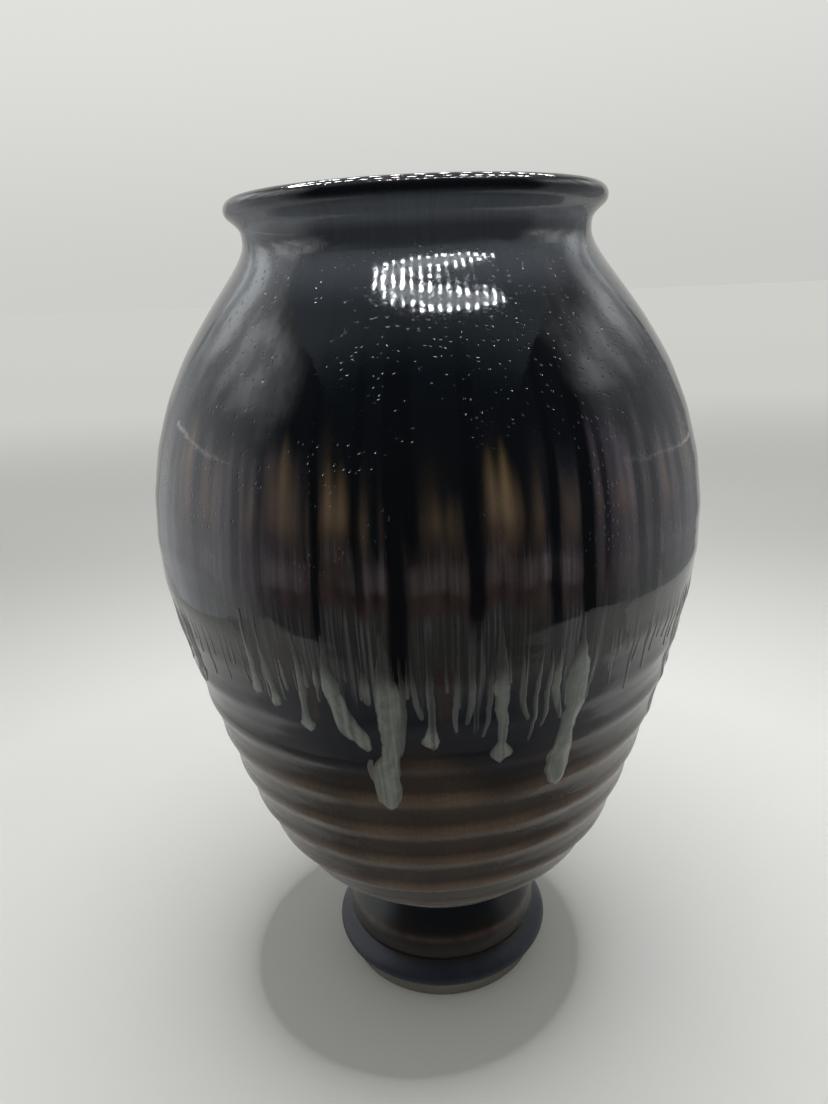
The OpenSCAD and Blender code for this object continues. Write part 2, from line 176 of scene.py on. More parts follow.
class VaseColours(bpy.types.PropertyGroup):
    """Linear colours of the clay and the glazes."""

    clay: colour("Bare clay", "Fired clay under the foot", (0.150, 0.136, 0.113))
    black: colour("Black", "Shoulder and neck", (0.0018, 0.0025, 0.0038))
    broken: colour("Broken brown", "Where the glaze thins over an edge", (0.060, 0.038, 0.027))
    ochre: colour("Ochre", "Tips of the flames", (0.088, 0.062, 0.027))
    tan: colour("Tan", "Middle of the flames", (0.080, 0.056, 0.035))
    mauve: colour("Mauve", "Foot of the flames", (0.024, 0.017, 0.014))
    rust: colour("Rust", "Reddish ring under the flames", (0.025, 0.0165, 0.0155))
    lilac: colour("Lilac", "Fur over the rust", (0.100, 0.090, 0.100))
    moss: colour("Moss", "Ground of the fur", (0.020, 0.0185, 0.0185))
    fur: colour("Fur", "Streaks of the fur", (0.054, 0.057, 0.058))
    haze: colour("Haze", "Lilac film between the flames at the sides", (0.046, 0.034, 0.049))
    # Painted sheen: the flanks seen from the front turn paler and bluer
    flank_sheen: colour("Flank sheen", "Thin bluish film over the sides", (0.080, 0.074, 0.098))
    slate: colour("Slate", "Ground between the runs", (0.006, 0.007, 0.012))
    brown: colour("Brown", "Bowl", (0.011, 0.0075, 0.0055))
    umber: colour("Umber", "Crests of the rings", (0.078, 0.053, 0.036))
    navy: colour("Navy", "Bead of the foot", (0.012, 0.016, 0.031))
    pale: colour("Pale", "Runs", (0.150, 0.160, 0.145))
    # Painted reflection: a paler grey-blue on the neck and under the lip
    neck_sheen: colour("Neck sheen", "Neck and the underside of the lip", (0.039, 0.043, 0.051))
    liner: colour("Liner", "Inside", (0.006, 0.005, 0.0045))


class VaseStudio(bpy.types.PropertyGroup):
    """Camera and light."""

    distance: length("Camera distance", "From the vase's axis, level", 0.29928)
    height: length("Camera height", "Above the floor", 0.27366)
    pitch: angle("Pitch", "How far the camera looks down", 18.264)
    yaw: angle("Yaw", "How far the camera turns to the left", 1.049)
    roll: angle("Roll", "How far the camera leans", 2.555)
    focal_px: share("Focal length", "In pixels of the photograph", 829)
    frame_height_px: IntProperty(name="Frame height", description="Pixels", default=1104)
    world_light: share("World light", "Strength of the light from all sides", 0.58)
    ring: length("Ring lamp radius", "Radius of the round lamp overhead", 0.161)
    ring_width: length("Ring lamp width", "Width of its tube", 0.003)
    ring_glow: share("Ring lamp glow", "Strength of the round lamp", 425)
    lamp_height: length("Lamp height", "Above the floor", 0.600)
    diode_glow: share("Diode glow", "Strength of the small lamps in the lamp's front", 140)
    haze_glow: share("Haze glow", "Strength of the lamp's front between the diodes", 3.5)
    left_glow: share("Left glow", "Strength of the left wall in the glaze", 0.86)
    right_glow: share("Right glow", "Strength of the right wall in the glaze", 0.42)
    lamp_side_glow: share("Lamp side glow", "What the lamp adds high up on the walls", 1.50)
    ceiling_glow: share("Ceiling glow", "Strength of the ceiling in the glaze", 0.42)
    room_glow: share("Room glow", "Strength of the open front in the glaze", 0.04)


def settings(group):
    """The values of one group on the scene."""
    return getattr(bpy.context.scene, group)


def smooth(low, high, value):
    """0 under low, 1 over high and a soft step between them."""
    t = np.clip((value - low) / (high - low), 0, 1)
    return t * t * (3 - 2 * t)


def mix(a, b, amount):
    """Between a and b. The amount may be one number or one for each row."""
    amount = np.asarray(amount, float)
    if amount.ndim and np.ndim(a) + np.ndim(b):
        amount = amount[:, None]
    return np.asarray(a, float) * (1 - amount) + np.asarray(b, float) * amount


# Uneven waves round the vase: the fewest and the most in a full turn, and their seed
WAVES = {
    "sway": (8, 60, 3), "streak": (40, 150, 5), "fine": (110, 230, 7), "slate edge": (3, 14, 9),
    "umber": (5, 30, 13), "lilac": (6, 24, 17), "cluster": (12, 45, 19), "ridge": (6, 40, 21),
    "bead": (5, 30, 23), "lip": (4, 30, 31), "liner": (5, 40, 41), "run cover": (120, 240, 51),
}
# How many waves are summed for each
WAVE_COUNT = 24


def ripple(turn, name):
    """An uneven wave round the vase. It strays from 0 by about 1 to both sides."""
    fewest, most, seed = WAVES[name]
    draw = random.Random(seed)
    total = np.zeros_like(turn)
    for _ in range(WAVE_COUNT):
        waves = draw.randint(fewest, most)
        total += np.cos(np.radians(turn) * waves + draw.uniform(0, FULL_TURN))
    return total * math.sqrt(2 / WAVE_COUNT)


def swing(turn, name, parts):
    """A number that swings with a wave round the vase: its middle and its reach are the parts."""
    return parts[0] + parts[1] * ripple(turn, name)


# Outlines: rows of radius, height and the two parts of the direction that points outwards

# Steps in each curve of the wall, of the foot, of the recess below it, of the coves and the roll
WALL_PARTS, FOOT_PARTS, RECESS_PARTS, COVE_PARTS, ROLL_PARTS = 400, 10, 24, 16, 24
# Height below the seam over which the deep rings turn faint, against the height of their fade
CALM_REACH = 1.8


def outward(along):
    """The direction that points out of an outline that runs along."""
    way = np.stack([along[:, 1], -along[:, 0]], 1)
    return way / np.linalg.norm(way, axis=1, keepdims=True)


def bezier(corners, parts):
    """Rows along a curve with four control points."""
    t = np.linspace(0, 1, parts + 1)[:, None]
    a, b, c, d = (np.array(corner, float) for corner in corners)
    points = a * (1 - t) ** 3 + 3 * b * t * (1 - t) ** 2 + 3 * c * t * t * (1 - t) + d * t ** 3
    along = (b - a) * (1 - t) ** 2 + 2 * (c - b) * t * (1 - t) + (d - c) * t * t
    return np.hstack([points, outward(along)])


def wall_rows(heights):
    """Rows of the clay's outer wall at the heights, without the rings."""
    f = settings("vase_form")
    joint, knee, belly, neck = np.array(((f.joint, f.joint_height), (f.knee, f.knee_height),
                                         (f.belly, f.belly_height), (f.neck, f.neck_height)))
    lean, upright = np.array((f.knee_lean, 1)), np.array((0, 1))
    curves = ((joint, joint + (f.bowl_spread, f.bowl_rise), knee - f.knee_reach * lean, knee),
              (knee, knee + f.flank_reach * lean, belly - f.belly_reach * upright, belly),
              (belly, belly + f.shoulder_reach * upright, neck - f.neck_reach * upright, neck))
    bowl, flank, shoulder = (bezier(curve, WALL_PARTS) for curve in curves)
    table = np.vstack([bowl, flank[1:], shoulder[1:]])
    columns = [np.interp(heights, table[:, 1], table[:, i]) for i in (0, 2, 3)]
    return np.stack([columns[0], heights, columns[1], columns[2]], 1)


def levels(low, high, step):
    """Heights from low to high, about a step apart."""
    return np.linspace(low, high, max(2, math.ceil((high - low) / step) + 1))


def ring_strength(heights):
    """Deep rings under the seam, faint ones above it, none at the foot and the neck."""
    f, rings = settings("vase_form"), settings("vase_rings")
    rise = smooth(f.joint_height, f.joint_height + rings.fade, heights)
    calm = mix(1.0, rings.faint,
               smooth(f.seam_height - CALM_REACH * rings.fade, f.seam_height, heights))
    end = smooth(0, f.collar_height - f.belly_height, f.collar_height - heights)
    return rise * calm * end


def foot_rows():
    """Rows of the foot from the glaze line to the seam under the body."""
    f, foot = settings("vase_form"), settings("vase_foot")
    points = np.array([(foot.bare, foot.bare_height), (foot.bead, foot.bead_height),
                       (foot.groove, foot.groove_height), (foot.band, foot.band_height),
                       (foot.ridge, foot.ridge_height), (foot.waist, foot.waist_height),
                       (f.joint, f.joint_height)])
    step = np.diff(points, axis=0)
    size = np.linalg.norm(step, axis=1)
    first = points[0] - (foot.stand, 0)
    last = np.array((f.bowl_spread, f.bowl_rise))
    ways = np.vstack([first / np.linalg.norm(first) * size[0],
                      (points[2:] - points[:-2]) / 2,
                      last / np.linalg.norm(last) * size[-1]])
    spans = [bezier((points[i], points[i] + ways[i] / 3, points[i + 1] - ways[i + 1] / 3,
                     points[i + 1]), FOOT_PARTS)[min(i, 1):] for i in range(len(step))]
    return np.vstack(spans)


def roll_rows(low, high, parts):
    """Rows round the lip's roll, between two angles."""
    f = settings("vase_form")
    turns = np.linspace(low, high, parts + 1)
    way = np.stack([np.cos(turns), np.sin(turns)], 1)
    return np.hstack([np.array((f.lip, f.lip_height)) + f.lip_roll * way, way])


def lip_rows():
    """Rows from the neck's narrowest ring over the lip and down into the mouth."""
    f = settings("vase_form")
    under, inner = roll_rows(-f.lip_under, f.lip_inner, 1)
    turn = np.array([(-math.sin(a), math.cos(a)) for a in (-f.lip_under, f.lip_inner)])
    throat = f.neck - f.wall
    cove = bezier(((f.neck, f.neck_height), (f.neck, f.neck_height + f.cove_reach),
                   under[:2] - f.cove_reach * turn[0], under[:2]), COVE_PARTS)
    mouth = bezier((inner[:2], inner[:2] + f.cove_reach * turn[1],
                    (throat, f.neck_height + f.cove_reach), (throat, f.neck_height)), COVE_PARTS)
    roll = roll_rows(-f.lip_under, f.lip_inner, ROLL_PARTS)
    return np.vstack([cove[1:], roll[1:-1], mouth])


# What Blender calls rows of one, three and four numbers, and the part of them that holds these
ROW_KINDS = {1: ("FLOAT", "value"), 3: ("FLOAT_VECTOR", "vector"), 4: ("FLOAT_COLOR", "color")}


def store(mesh, name, values):
    """Keeps a row of one, three or four numbers for each vertex."""
    rows = np.asarray(values, float).reshape(len(mesh.vertices), -1)
    kind, part = ROW_KINDS[rows.shape[1]]
    mesh.attributes.new(name, kind, "POINT").data.foreach_set(part, rows.ravel())


def stored_numbers(mesh, name):
    """The number that each vertex keeps under a name."""
    numbers = np.zeros(len(mesh.vertices))
    mesh.attributes[name].data.foreach_get("value", numbers)
    return numbers


class Outline:
    """A closed outline: points, outward directions and how strongly the rings move each."""

    def __init__(self):
        self.points, self.ways, self.rings = [], [], []

    def add(self, rows, distance=0.0, rings=0.0):
        """Adds rows, each moved outwards by a distance."""
        distance = np.broadcast_to(distance, len(rows))[:, None]
        self.points.extend(rows[:, :2] + rows[:, 2:] * distance)
        self.ways.extend(rows[:, 2:])
        self.rings.extend(np.broadcast_to(rings, len(rows)))
        return self

    def corner(self, radius, height):
        """Adds one plain point."""
        return self.add(np.array([[radius, height, 0.0, 0.0]]))

    def mesh(self, name):
        """A loop of edges with radius as x and height as -y, as the sweep reads them."""
        mesh = bpy.data.meshes.new(name)
        points = [(r, -z, 0.0) for r, z in reversed(self.points)]
        count = len(points)
        mesh.from_pydata(points, [(i, (i + 1) % count) for i in range(count)], [])
        store(mesh, "way", np.pad(np.array(self.ways)[::-1], ((0, 0), (0, 1))))
        store(mesh, "rings", self.rings[::-1])
        return mesh


# Node trees


class Field:
    """A number that changes over a surface. The usual signs put Math nodes into its tree."""

    def __init__(self, tree, socket):
        self.tree = tree
        self.socket = socket

    def do(self, operation, *others):
        """A Math node with this number as its first input."""
        node = self.tree.nodes.new("ShaderNodeMath")
        node.operation = operation
        for slot, value in zip(node.inputs, (self, *others)):
            plug(self.tree, slot, value)
        return Field(self.tree, node.outputs[0])

    def __add__(self, other):
        return self.do("ADD", other)

    def __sub__(self, other):
        return self.do("SUBTRACT", other)

    def __mul__(self, other):
        return self.do("MULTIPLY", other)

    def __truediv__(self, other):
        return self.do("DIVIDE", other)

    def step(self, low, high, start=0.0, end=1.0):
        """A soft step between low and high."""
        node = self.tree.nodes.new("ShaderNodeMapRange")
        node.interpolation_type = "SMOOTHSTEP"
        for slot, value in zip(node.inputs, (self, low, high, start, end)):
            plug(self.tree, slot, value)
        return Field(self.tree, node.outputs[0])


def plug(tree, slot, value):
    """Links a field, a node's first output or a socket to a slot, or sets a plain value on it."""
    if isinstance(value, Field):
        value = value.socket
    if isinstance(value, bpy.types.Node):
        value = value.outputs[0]
    if isinstance(value, bpy.types.NodeSocket):
        tree.links.new(value, slot)
    else:
        slot.default_value = value


def plug_all(tree, node, inputs):
    """Plugs the inputs of a node by name."""
    for name, value in inputs.items():
        plug(tree, node.inputs[name], value)


def add_node(tree, kind, inputs=None, **options):
    """A node with its options set and its inputs plugged by name."""
    node = tree.nodes.new(kind)
    for key, value in options.items():
        setattr(node, key, value)
    plug_all(tree, node, inputs or {})
    return node


def split(tree, vector):
    """The three parts of a vector as fields."""
    node = add_node(tree, "ShaderNodeSeparateXYZ", {"Vector": vector})
    return [Field(tree, out) for out in node.outputs]


def join(tree, x, y, z):
    """A vector from three parts."""
    return add_node(tree, "ShaderNodeCombineXYZ", {"X": x, "Y": y, "Z": z}).outputs[0]


def round_place(tree, position):
    """Turn in radians, and the level direction from the axis with the height, at a position."""
    x, y, height = split(tree, position)
    radius = (x * x + y * y).do("SQRT")
    return x.do("ARCTAN2", y * -1.0), (x / radius, y / radius, height)


def noise(tree, vector, scale=1.0, detail=2.0):
    """Noise about -0.5 to 0.5 at a vector."""
    node = add_node(tree, "ShaderNodeTexNoise",
                    {"Vector": vector, "Scale": scale, "Detail": detail})
    return Field(tree, node.outputs[0]) - 0.5


def streak_noise(tree, around, across, along, scale=1.0, detail=2.0):
    """Noise round the axis that changes at its own pace across and along the height."""
    east, north, height = around
    return noise(tree, join(tree, east * across, north * across, height * along), scale, detail)


def flat_noise(tree, x, y, across, along, detail=2.0):
    """Noise in a plane that changes at its own pace in each direction."""
    return noise(tree, join(tree, x * across, y * along, 0.0), 1.0, detail)


def named(tree, name, kind="FLOAT"):
    """What a geometry tree finds stored on a mesh under a name."""
    return add_node(tree, "GeometryNodeInputNamedAttribute", {"Name": name},
                    data_type=kind).outputs[0]


# The kind of a tree's input for each kind of value
INPUT_KINDS = {float: "Float", int: "Int", bpy.types.Material: "Material",
               bpy.types.Object: "Object"}
# Edges that bend more than this, in degrees, stay sharp
SHARP_BEND = 40


def build_tree(name, build, values):
    """A geometry tree with a named input for each value, which ends in one real mesh."""
    tree = bpy.data.node_groups.new(name, "GeometryNodeTree")
    for side in ("INPUT", "OUTPUT"):
        tree.interface.new_socket("Geometry", in_out=side, socket_type="NodeSocketGeometry")
    for label, value in values.items():
        tree.interface.new_socket(label, in_out="INPUT",
                                  socket_type="NodeSocket" + INPUT_KINDS[type(value)])
    start = tree.nodes.new("NodeGroupInput")
    given = {out.name: Field(tree, out) if out.type == "VALUE" else out for out in start.outputs}
    real = add_node(tree, "GeometryNodeRealizeInstances", {"Geometry": build(tree, given)})
    painted = add_node(tree, "GeometryNodeSetMaterial",
                       {"Geometry": real, "Material": given["Material"]})
    plug(tree, tree.nodes.new("NodeGroupOutput").inputs[0], painted)
    return tree


def run_tree(obj, name, build, values):
    """Puts a tree on the object, sets its inputs and keeps the result as a plain mesh."""
    tree = bpy.data.node_groups.get(name) or build_tree(name, build, values)
    modifier = obj.modifiers.new(name, "NODES")
    modifier.node_group = tree
    slots = {s.name: s.identifier for s in tree.interface.items_tree if s.in_out == "INPUT"}
    for label, value in values.items():
        modifier[slots[label]] = value
    depsgraph = bpy.context.evaluated_depsgraph_get()
    mesh = bpy.data.meshes.new_from_object(obj.evaluated_get(depsgraph),
                                           preserve_all_data_layers=True, depsgraph=depsgraph)
    obj.modifiers.remove(modifier)
    obj.data = mesh
    mesh.shade_smooth()
    mesh.set_sharp_from_angle(angle=math.radians(SHARP_BEND))
    return obj


# Noise in the wall: how fast it changes across and along the height, its scale and its detail
RING_WANDER = (1.0, 26.0, 1.1)
RING_DEPTHS = (1.0, 40.0, 1.7)
FINGER_LINES = (1.0, 700.0, 0.9, 3.0)
# Scale and detail of the hand marks
HAND_MARKS = (42.0, 1.0)
# A ring's second wave against its first, and how far the noise changes the rings and the seam
SECOND_WAVE, RING_CHANGE, SEAM_CHANGE = 0.25, 1.6, 1.4
# How many times sooner than the rings the hand marks come in
MARKS_LEAD = 12.0
# Points that the sweep leaves closer together than this become one
SAME_POINT = 0.001 * MM


def turned_piece(tree, given):
    """Spins an outline about Z and presses the throwing rings and the seam into it."""
    inwards = join(tree, given["Spin radius"] * -1.0, 0.0, 0.0)
    moved = add_node(tree, "GeometryNodeSetPosition",
                     {"Geometry": given["Geometry"], "Offset": inwards})
    outline = add_node(tree, "GeometryNodeMeshToCurve", {"Mesh": moved})
    circle = add_node(tree, "GeometryNodeCurvePrimitiveCircle",
                      {"Resolution": given["Segments"], "Radius": given["Spin radius"]})
    swept = add_node(tree, "GeometryNodeCurveToMesh", {"Curve": circle, "Profile Curve": outline})

    place = tree.nodes.new("GeometryNodeInputPosition").outputs[0]
    turn, around = round_place(tree, place)
    east, north, height = around
    out, up, _ = split(tree, named(tree, "way", "FLOAT_VECTOR"))
    strength = Field(tree, named(tree, "rings"))
    wander = streak_noise(tree, around, *RING_WANDER)
    depth = streak_noise(tree, around, *RING_DEPTHS)
    lines = streak_noise(tree, around, *FINGER_LINES)
    phase = ((height - given["First crest"]) / given["Ring pitch"] * FULL_TURN - turn
             + wander * given["Unevenness"] * 2.0)
    wave = phase.do("COSINE") + (phase * 2.0).do("COSINE") * SECOND_WAVE
    seam = (height - given["Seam height"] + turn.do("SINE") * given["Seam tilt"]) \
        / given["Seam width"]
    bulge = (seam * seam * -1.0).do("EXPONENT") * (depth * SEAM_CHANGE + 1.0) \
        * given["Seam bulge"]
    marks = noise(tree, place, *HAND_MARKS) * given["Hand marks"] * 2.0
    lift = (wave * given["Ring depth"] * (depth * RING_CHANGE + 1.0) * 0.5
            + lines * given["Finger lines"] * 2.0 + bulge) * strength \
        + marks * (strength * MARKS_LEAD).do("MINIMUM", 1.0)
    offset = join(tree, east * out * lift, north * out * lift, up * lift)
    pressed = add_node(tree, "GeometryNodeSetPosition", {"Geometry": swept, "Offset": offset})
    return add_node(tree, "GeometryNodeMergeByDistance",
                    {"Geometry": pressed, "Distance": SAME_POINT})


# How many sides each turned piece has
SEGMENTS = {
    "foot_clay": 360, "lower_clay": 240, "upper_clay": 240, "neck_clay": 240, "foot_coat": 480,
    "bowl_coat": 720, "belly_coat": 900, "shoulder_coat": 900, "lip_coat": 720,
    "liner_coat": 360, "pale_band": 900,
}


def turn_piece(name, outline, material):
    """A turned piece from its outline."""
    rings, f = settings("vase_rings"), settings("vase_form")
    obj = bpy.data.objects.new(name, outline.mesh(name))
    bpy.context.scene.collection.objects.link(obj)
    return run_tree(obj, "Turned piece", turned_piece, {
        "Segments": SEGMENTS[name], "Spin radius": f.joint, "Ring pitch": rings.pitch,
        "Ring depth": rings.depth, "First crest": rings.crest, "Unevenness": rings.uneven,
        "Finger lines": rings.finger, "Hand marks": rings.hand, "Seam height": f.seam_height,
        "Seam tilt": rings.tilt, "Seam bulge": rings.bulge, "Seam width": rings.bulge_width,
        "Material": material})


def place_piece(obj, node):
    """Seats a finished piece in the frame in place of its node."""
    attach(obj, BODY)
    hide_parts(node)


# Where the glazes broke and ran. Turns are in degrees, heights and half widths in mm.

# Dark runs through the flames: turn, half width, lower end, strength from 0 to 1
DARK_RUNS = (
    (-53.0, 1.2, 190, 0.6), (-45.8, 0.8, 176, 0.5), (-34.6, 1.1, 182, 0.6),
    (-29.3, 0.9, 186, 0.5), (-18.7, 0.8, 178, 0.95), (-11.3, 0.8, 190, 0.8),
    (-5.4, 1.6, 160, 1.0), (-3.2, 1.5, 205, 0.9), (7.2, 1.3, 184, 1.0), (21.0, 1.0, 168, 0.9),
    (27.2, 1.5, 163, 1.0), (31.0, 0.7, 192, 0.5), (39.6, 1.2, 176, 0.7), (43.6, 1.1, 178, 0.7),
    (54.0, 1.4, 180, 0.7),
)
# Flames: turn, half width, height of the tip, strength from 0 to 1
FLAMES = (
    (-57.0, 2.6, 236, 0.8), (-49.6, 2.9, 239, 0.9), (-41.0, 3.0, 233, 0.7),
    (-32.0, 2.2, 229, 0.6), (-24.4, 3.0, 235, 0.72), (-15.0, 2.3, 231, 0.95),
    (-8.2, 1.7, 212, 0.4), (3.0, 2.7, 224, 0.55), (12.0, 2.6, 233, 1.0),
    (17.3, 1.5, 219, 0.3), (24.0, 1.8, 226, 0.6), (35.6, 3.0, 225, 0.7), (48.5, 3.2, 229, 0.7),
    (59.0, 3.0, 232, 0.7),
)
# Gaps in the fur: turn, half width, lower end, upper end
FUR_GAPS = ((1.9, 1.5, 152, 173), (-27.0, 1.8, 167, 178), (-32.6, 0.9, 167, 178),
            (-22.4, 0.9, 152, 167))
# Runs of the pale glaze, each read downwards: turn, height, half width
FRONT_RUNS = (
    ((-40.9, 176, 0.6), (-41.0, 170, 0.7), (-40.8, 166, 0.5)),
    ((-34.8, 186, 0.9), (-34.6, 168, 1.7), (-34.6, 161, 2.0), (-35.2, 158.6, 2.4),
     (-35.6, 157.6, 1.4)),
    ((-31.6, 184, 0.8), (-31.2, 167, 1.4), (-31.0, 160, 1.4), (-30.8, 156.6, 2.4),
     (-31.4, 155, 1.7)),
    ((-27.6, 172, 0.7), (-27.4, 165, 1.1), (-27.3, 161.6, 0.8)),
    ((-24.0, 182, 0.8), (-23.8, 168, 1.6), (-24.3, 158, 1.4), (-24.5, 153, 1.6),
     (-24.4, 150.4, 3.0), (-24.4, 149.2, 2.6)),
    ((-20.4, 172, 0.7), (-20.6, 167, 1.5), (-20.7, 164, 0.9)),
    ((-18.4, 182, 0.8), (-18.5, 173, 1.7), (-18.3, 165, 3.0), (-17.3, 158, 3.0), (-15.9, 151, 3.8),
     (-14.0, 146.6, 3.0), (-13.2, 143.4, 1.8)),
    ((-17.6, 155, 0.9), (-17.2, 150, 1.6), (-16.4, 146.8, 1.0)),
    ((-11.9, 171, 0.8), (-11.9, 165, 1.7), (-11.7, 160.4, 1.1)),
    ((-8.4, 184, 0.9), (-8.2, 173, 2.2), (-8.0, 164, 4.1), (-8.0, 157, 4.2), (-8.1, 150, 3.8),
     (-8.6, 141, 3.4), (-9.7, 136, 4.5), (-10.2, 131, 5.1), (-10.1, 126, 5.1),
     (-10.2, 122, 4.2), (-10.2, 120, 2.6)),
    ((-12.7, 139, 0.7), (-13.0, 136, 1.2), (-12.8, 131, 1.3), (-12.2, 128, 0.8)),
    ((-5.6, 176, 0.6), (-5.4, 162, 1.0), (-5.9, 150, 1.1), (-6.9, 141, 0.8)),
    ((-3.7, 176, 0.5), (-3.5, 166, 0.9), (-3.0, 160, 1.1), (-2.4, 155.4, 0.8)),
    ((-0.6, 182, 0.8), (-0.7, 166, 1.3), (-0.5, 156, 1.2), (-0.6, 151, 1.5),
     (-0.8, 146.4, 3.0), (-0.5, 144.2, 1.4)),
    ((4.0, 176, 0.5), (4.0, 164, 1.0), (3.6, 155, 0.9), (3.8, 150, 0.6)),
    ((6.6, 176, 0.5), (6.6, 165, 1.2), (6.4, 158, 1.2), (5.7, 153, 0.8)),
    ((9.7, 176, 0.5), (9.8, 163, 0.9), (9.6, 154, 0.8), (8.8, 147.3, 0.7)),
    ((11.2, 184, 0.9), (11.7, 167, 2.8), (12.0, 158, 2.2), (12.5, 149, 1.7), (12.6, 144, 1.7),
     (12.5, 140.4, 3.9), (12.3, 138.4, 2.8), (12.4, 137.2, 1.2)),
    ((15.4, 174, 0.5), (15.7, 162, 1.1), (16.2, 156, 1.1), (17.1, 151.6, 0.7)),
    ((19.0, 176, 0.5), (18.4, 160, 0.9), (18.6, 152, 0.8), (18.0, 143.4, 0.6)),
    ((20.8, 172, 0.6), (20.6, 160, 1.2), (20.6, 152, 0.9), (20.2, 147.6, 0.6)),
    ((22.4, 174, 0.6), (22.2, 163, 1.6), (22.9, 155, 1.4), (24.0, 149.4, 0.8)),
    ((26.2, 184, 0.9), (26.5, 173, 2.2), (26.7, 165, 4.0), (26.8, 158, 4.6), (26.7, 150, 3.6),
     (26.2, 142, 3.2), (25.7, 136, 4.8), (25.8, 130, 5.1), (26.1, 125, 4.2), (26.4, 122.6, 2.2)),
    ((29.6, 176, 0.5), (29.7, 166, 1.0), (29.6, 160, 0.8), (29.3, 154, 0.6)),
    ((34.4, 176, 0.5), (34.4, 164, 0.8), (34.7, 156.4, 0.6)),
    ((39.8, 178, 0.5), (40.0, 164, 0.9), (40.1, 152, 0.7)),
    ((45.0, 176, 0.6), (44.8, 164, 0.9), (44.9, 156, 0.7)),
)
# The pale runs beyond this turn, to both sides, are made up
FRONT_EDGE = 57.0

# The seed of all that is made up by chance
HIDDEN_SEED = 11
# A flame of chance, each value as the lowest and the highest: its turn past the last dark run,
# half width, height of the tip and strength
HIDDEN_FLAME = ((4.2, 6.2), (1.7, 3.2), (216, 238), (0.4, 1.0))
# A dark run of chance: its turn past the last one, half width, lower end and strength
HIDDEN_DARK = ((7.0, 11.5), (0.8, 1.7), (160, 190), (0.6, 1.0))
# Chance adds no more this many degrees before the first dark run of the front
HIDDEN_END = 12


def hidden_marks():
    """Dark runs and flames for the sides and the back, by chance but always the same."""
    draw = random.Random(HIDDEN_SEED)
    dark, flames = [], []
    turn = DARK_RUNS[-1][0]
    while turn < 360 + DARK_RUNS[0][0] - HIDDEN_END:
        past, *flame = (draw.uniform(*limits) for limits in HIDDEN_FLAME)
        flames.append((turn + past, *flame))
        past, *run = (draw.uniform(*limits) for limits in HIDDEN_DARK)
        turn += past
        dark.append((turn, *run))
    return dark, flames


def nearest(turn, place):
    """The signed turn from a place, the short way round."""
    return (turn - place + 180) % 360 - 180


# Heights in mm over which a look of the glaze comes in: where there is none of it, where there
# is most, and how much that is
BLENDS = {
    "tan": (203, 216, 1), "ochre": (217, 229, 0.85), "smoke": (238, 200, 1),
    "haze": (236, 222, 0.8), "moss": (192.5, 185, 1), "slate": (168, 158, 1),
    "low brown": (66, 52, 0.75), "veil top": (238, 224, 1), "veil foot": (182, 196, 0.25),
    "neck_sheen": (266, 281, 0.8), "lilac foot": (193.5, 196.5, 1), "lilac top": (205, 200.5, 1),
    "fur foot": (154, 165, 1), "fur top": (192, 184.5, 0.8), "crown foot": (199, 204, 1),
    "crown top": (210, 203, 0.2), "lilac fur": (190, 194, 1), "gloss": (154, 178, 0.13),
    "pits foot": (186, 215, 1), "pits top": (292, 284, 1),
}
# How far the edges sway up and down, in mm
SWAY = 1.5
# A flame leans to and fro: how far, in degrees, and over which height, in mm
FLAME_LEAN, FLAME_LEAN_HEIGHT = 0.35, 7
# A flame's sides, in half widths: where it ends and where it is full
FLAME_SIDE = (1.55, 0.35)
# Height of the soft tip, and how much lower it is at the flame's half width, in mm
FLAME_TIP, FLAME_TIP_ROUND = 16, 1.6
# How much the streaks and the fine lines change the tones of the flames and of the rust
FLAME_GRAIN, RUST_GRAIN = (0.12, 0.12), (0.22, 0.15)
# How much of the flames' tones shows between them, and the streaks' part in it
SMOKE = (0.32, 0.18)
# Turns away from the front over which the haze comes in, and over which the painted sheen on the
# flanks comes in and goes
HAZE_START, FLANK_SHEEN_START, FLANK_SHEEN_END = (24, 40), (14, 34), (95, 70)
# The streaks over which the haze lies, and the part of the sway in that
HAZE_STREAKS, HAZE_SWAY = (-1.1, 0.6), 0.5
# How much of the sway the bands follow, and the join of the overlap and the black
BAND_SWAY, JOIN_SWAY = 0.7, 0.8
# Middle height of the slate's lower edge, its sway and its softness to both sides, in mm
SLATE_EDGE, SLATE_SWAY, SLATE_SOFT = 138, 3, 7
# Height below that edge over which umber comes in, in mm, how much of it lies in a hollow and
# how much more on a crest, and its swing round the vase
UMBER_FADE, UMBER_PARTS, UMBER_SWING = 20, (0.25, 0.75), (0.85, 0.1)
# Middle height where the overlap meets the black, and its softness above and below, in mm
JOIN_HEIGHT, JOIN_SOFT = 203, (3, 7)
# A dark run's sway, in degrees, and the height of one, its soft end in mm, and its sides
DARK_SWAY, DARK_SWAY_HEIGHT, DARK_END, DARK_SIDE = 0.25, 9, 7, (1.35, 0.6)
# How dark a dark run is against the black glaze, how fast it covers and how much at most
DARK_TONE, DARK_GAIN, DARK_MOST = 0.7, 1.08, 0.97
# The fur's thickness and swing in the lilac ring and in the moss
LILAC_FUR, MOSS_FUR = (0.55, 0.3), (0.70, 0.4)
# How much fur the lilac ring has, how much it tints the ground, and the fine lines' part in that
LILAC_SHARE, LILAC_TINT, LILAC_LINES = 0.34, 0.22, 0.3
# A gap in the fur: its sides in half widths, its soft ends outside and inside in mm, its rust
GAP_SIDE, GAP_ENDS, GAP_RUST = (1.3, 0.7), (2, 3), 0.8
# Roughness of the bowl and of the belly, and the heights in mm where one passes into the other
BOWL_ROUGH, BELLY_ROUGH, SATIN_END = 0.25, 0.19, (128, 154)
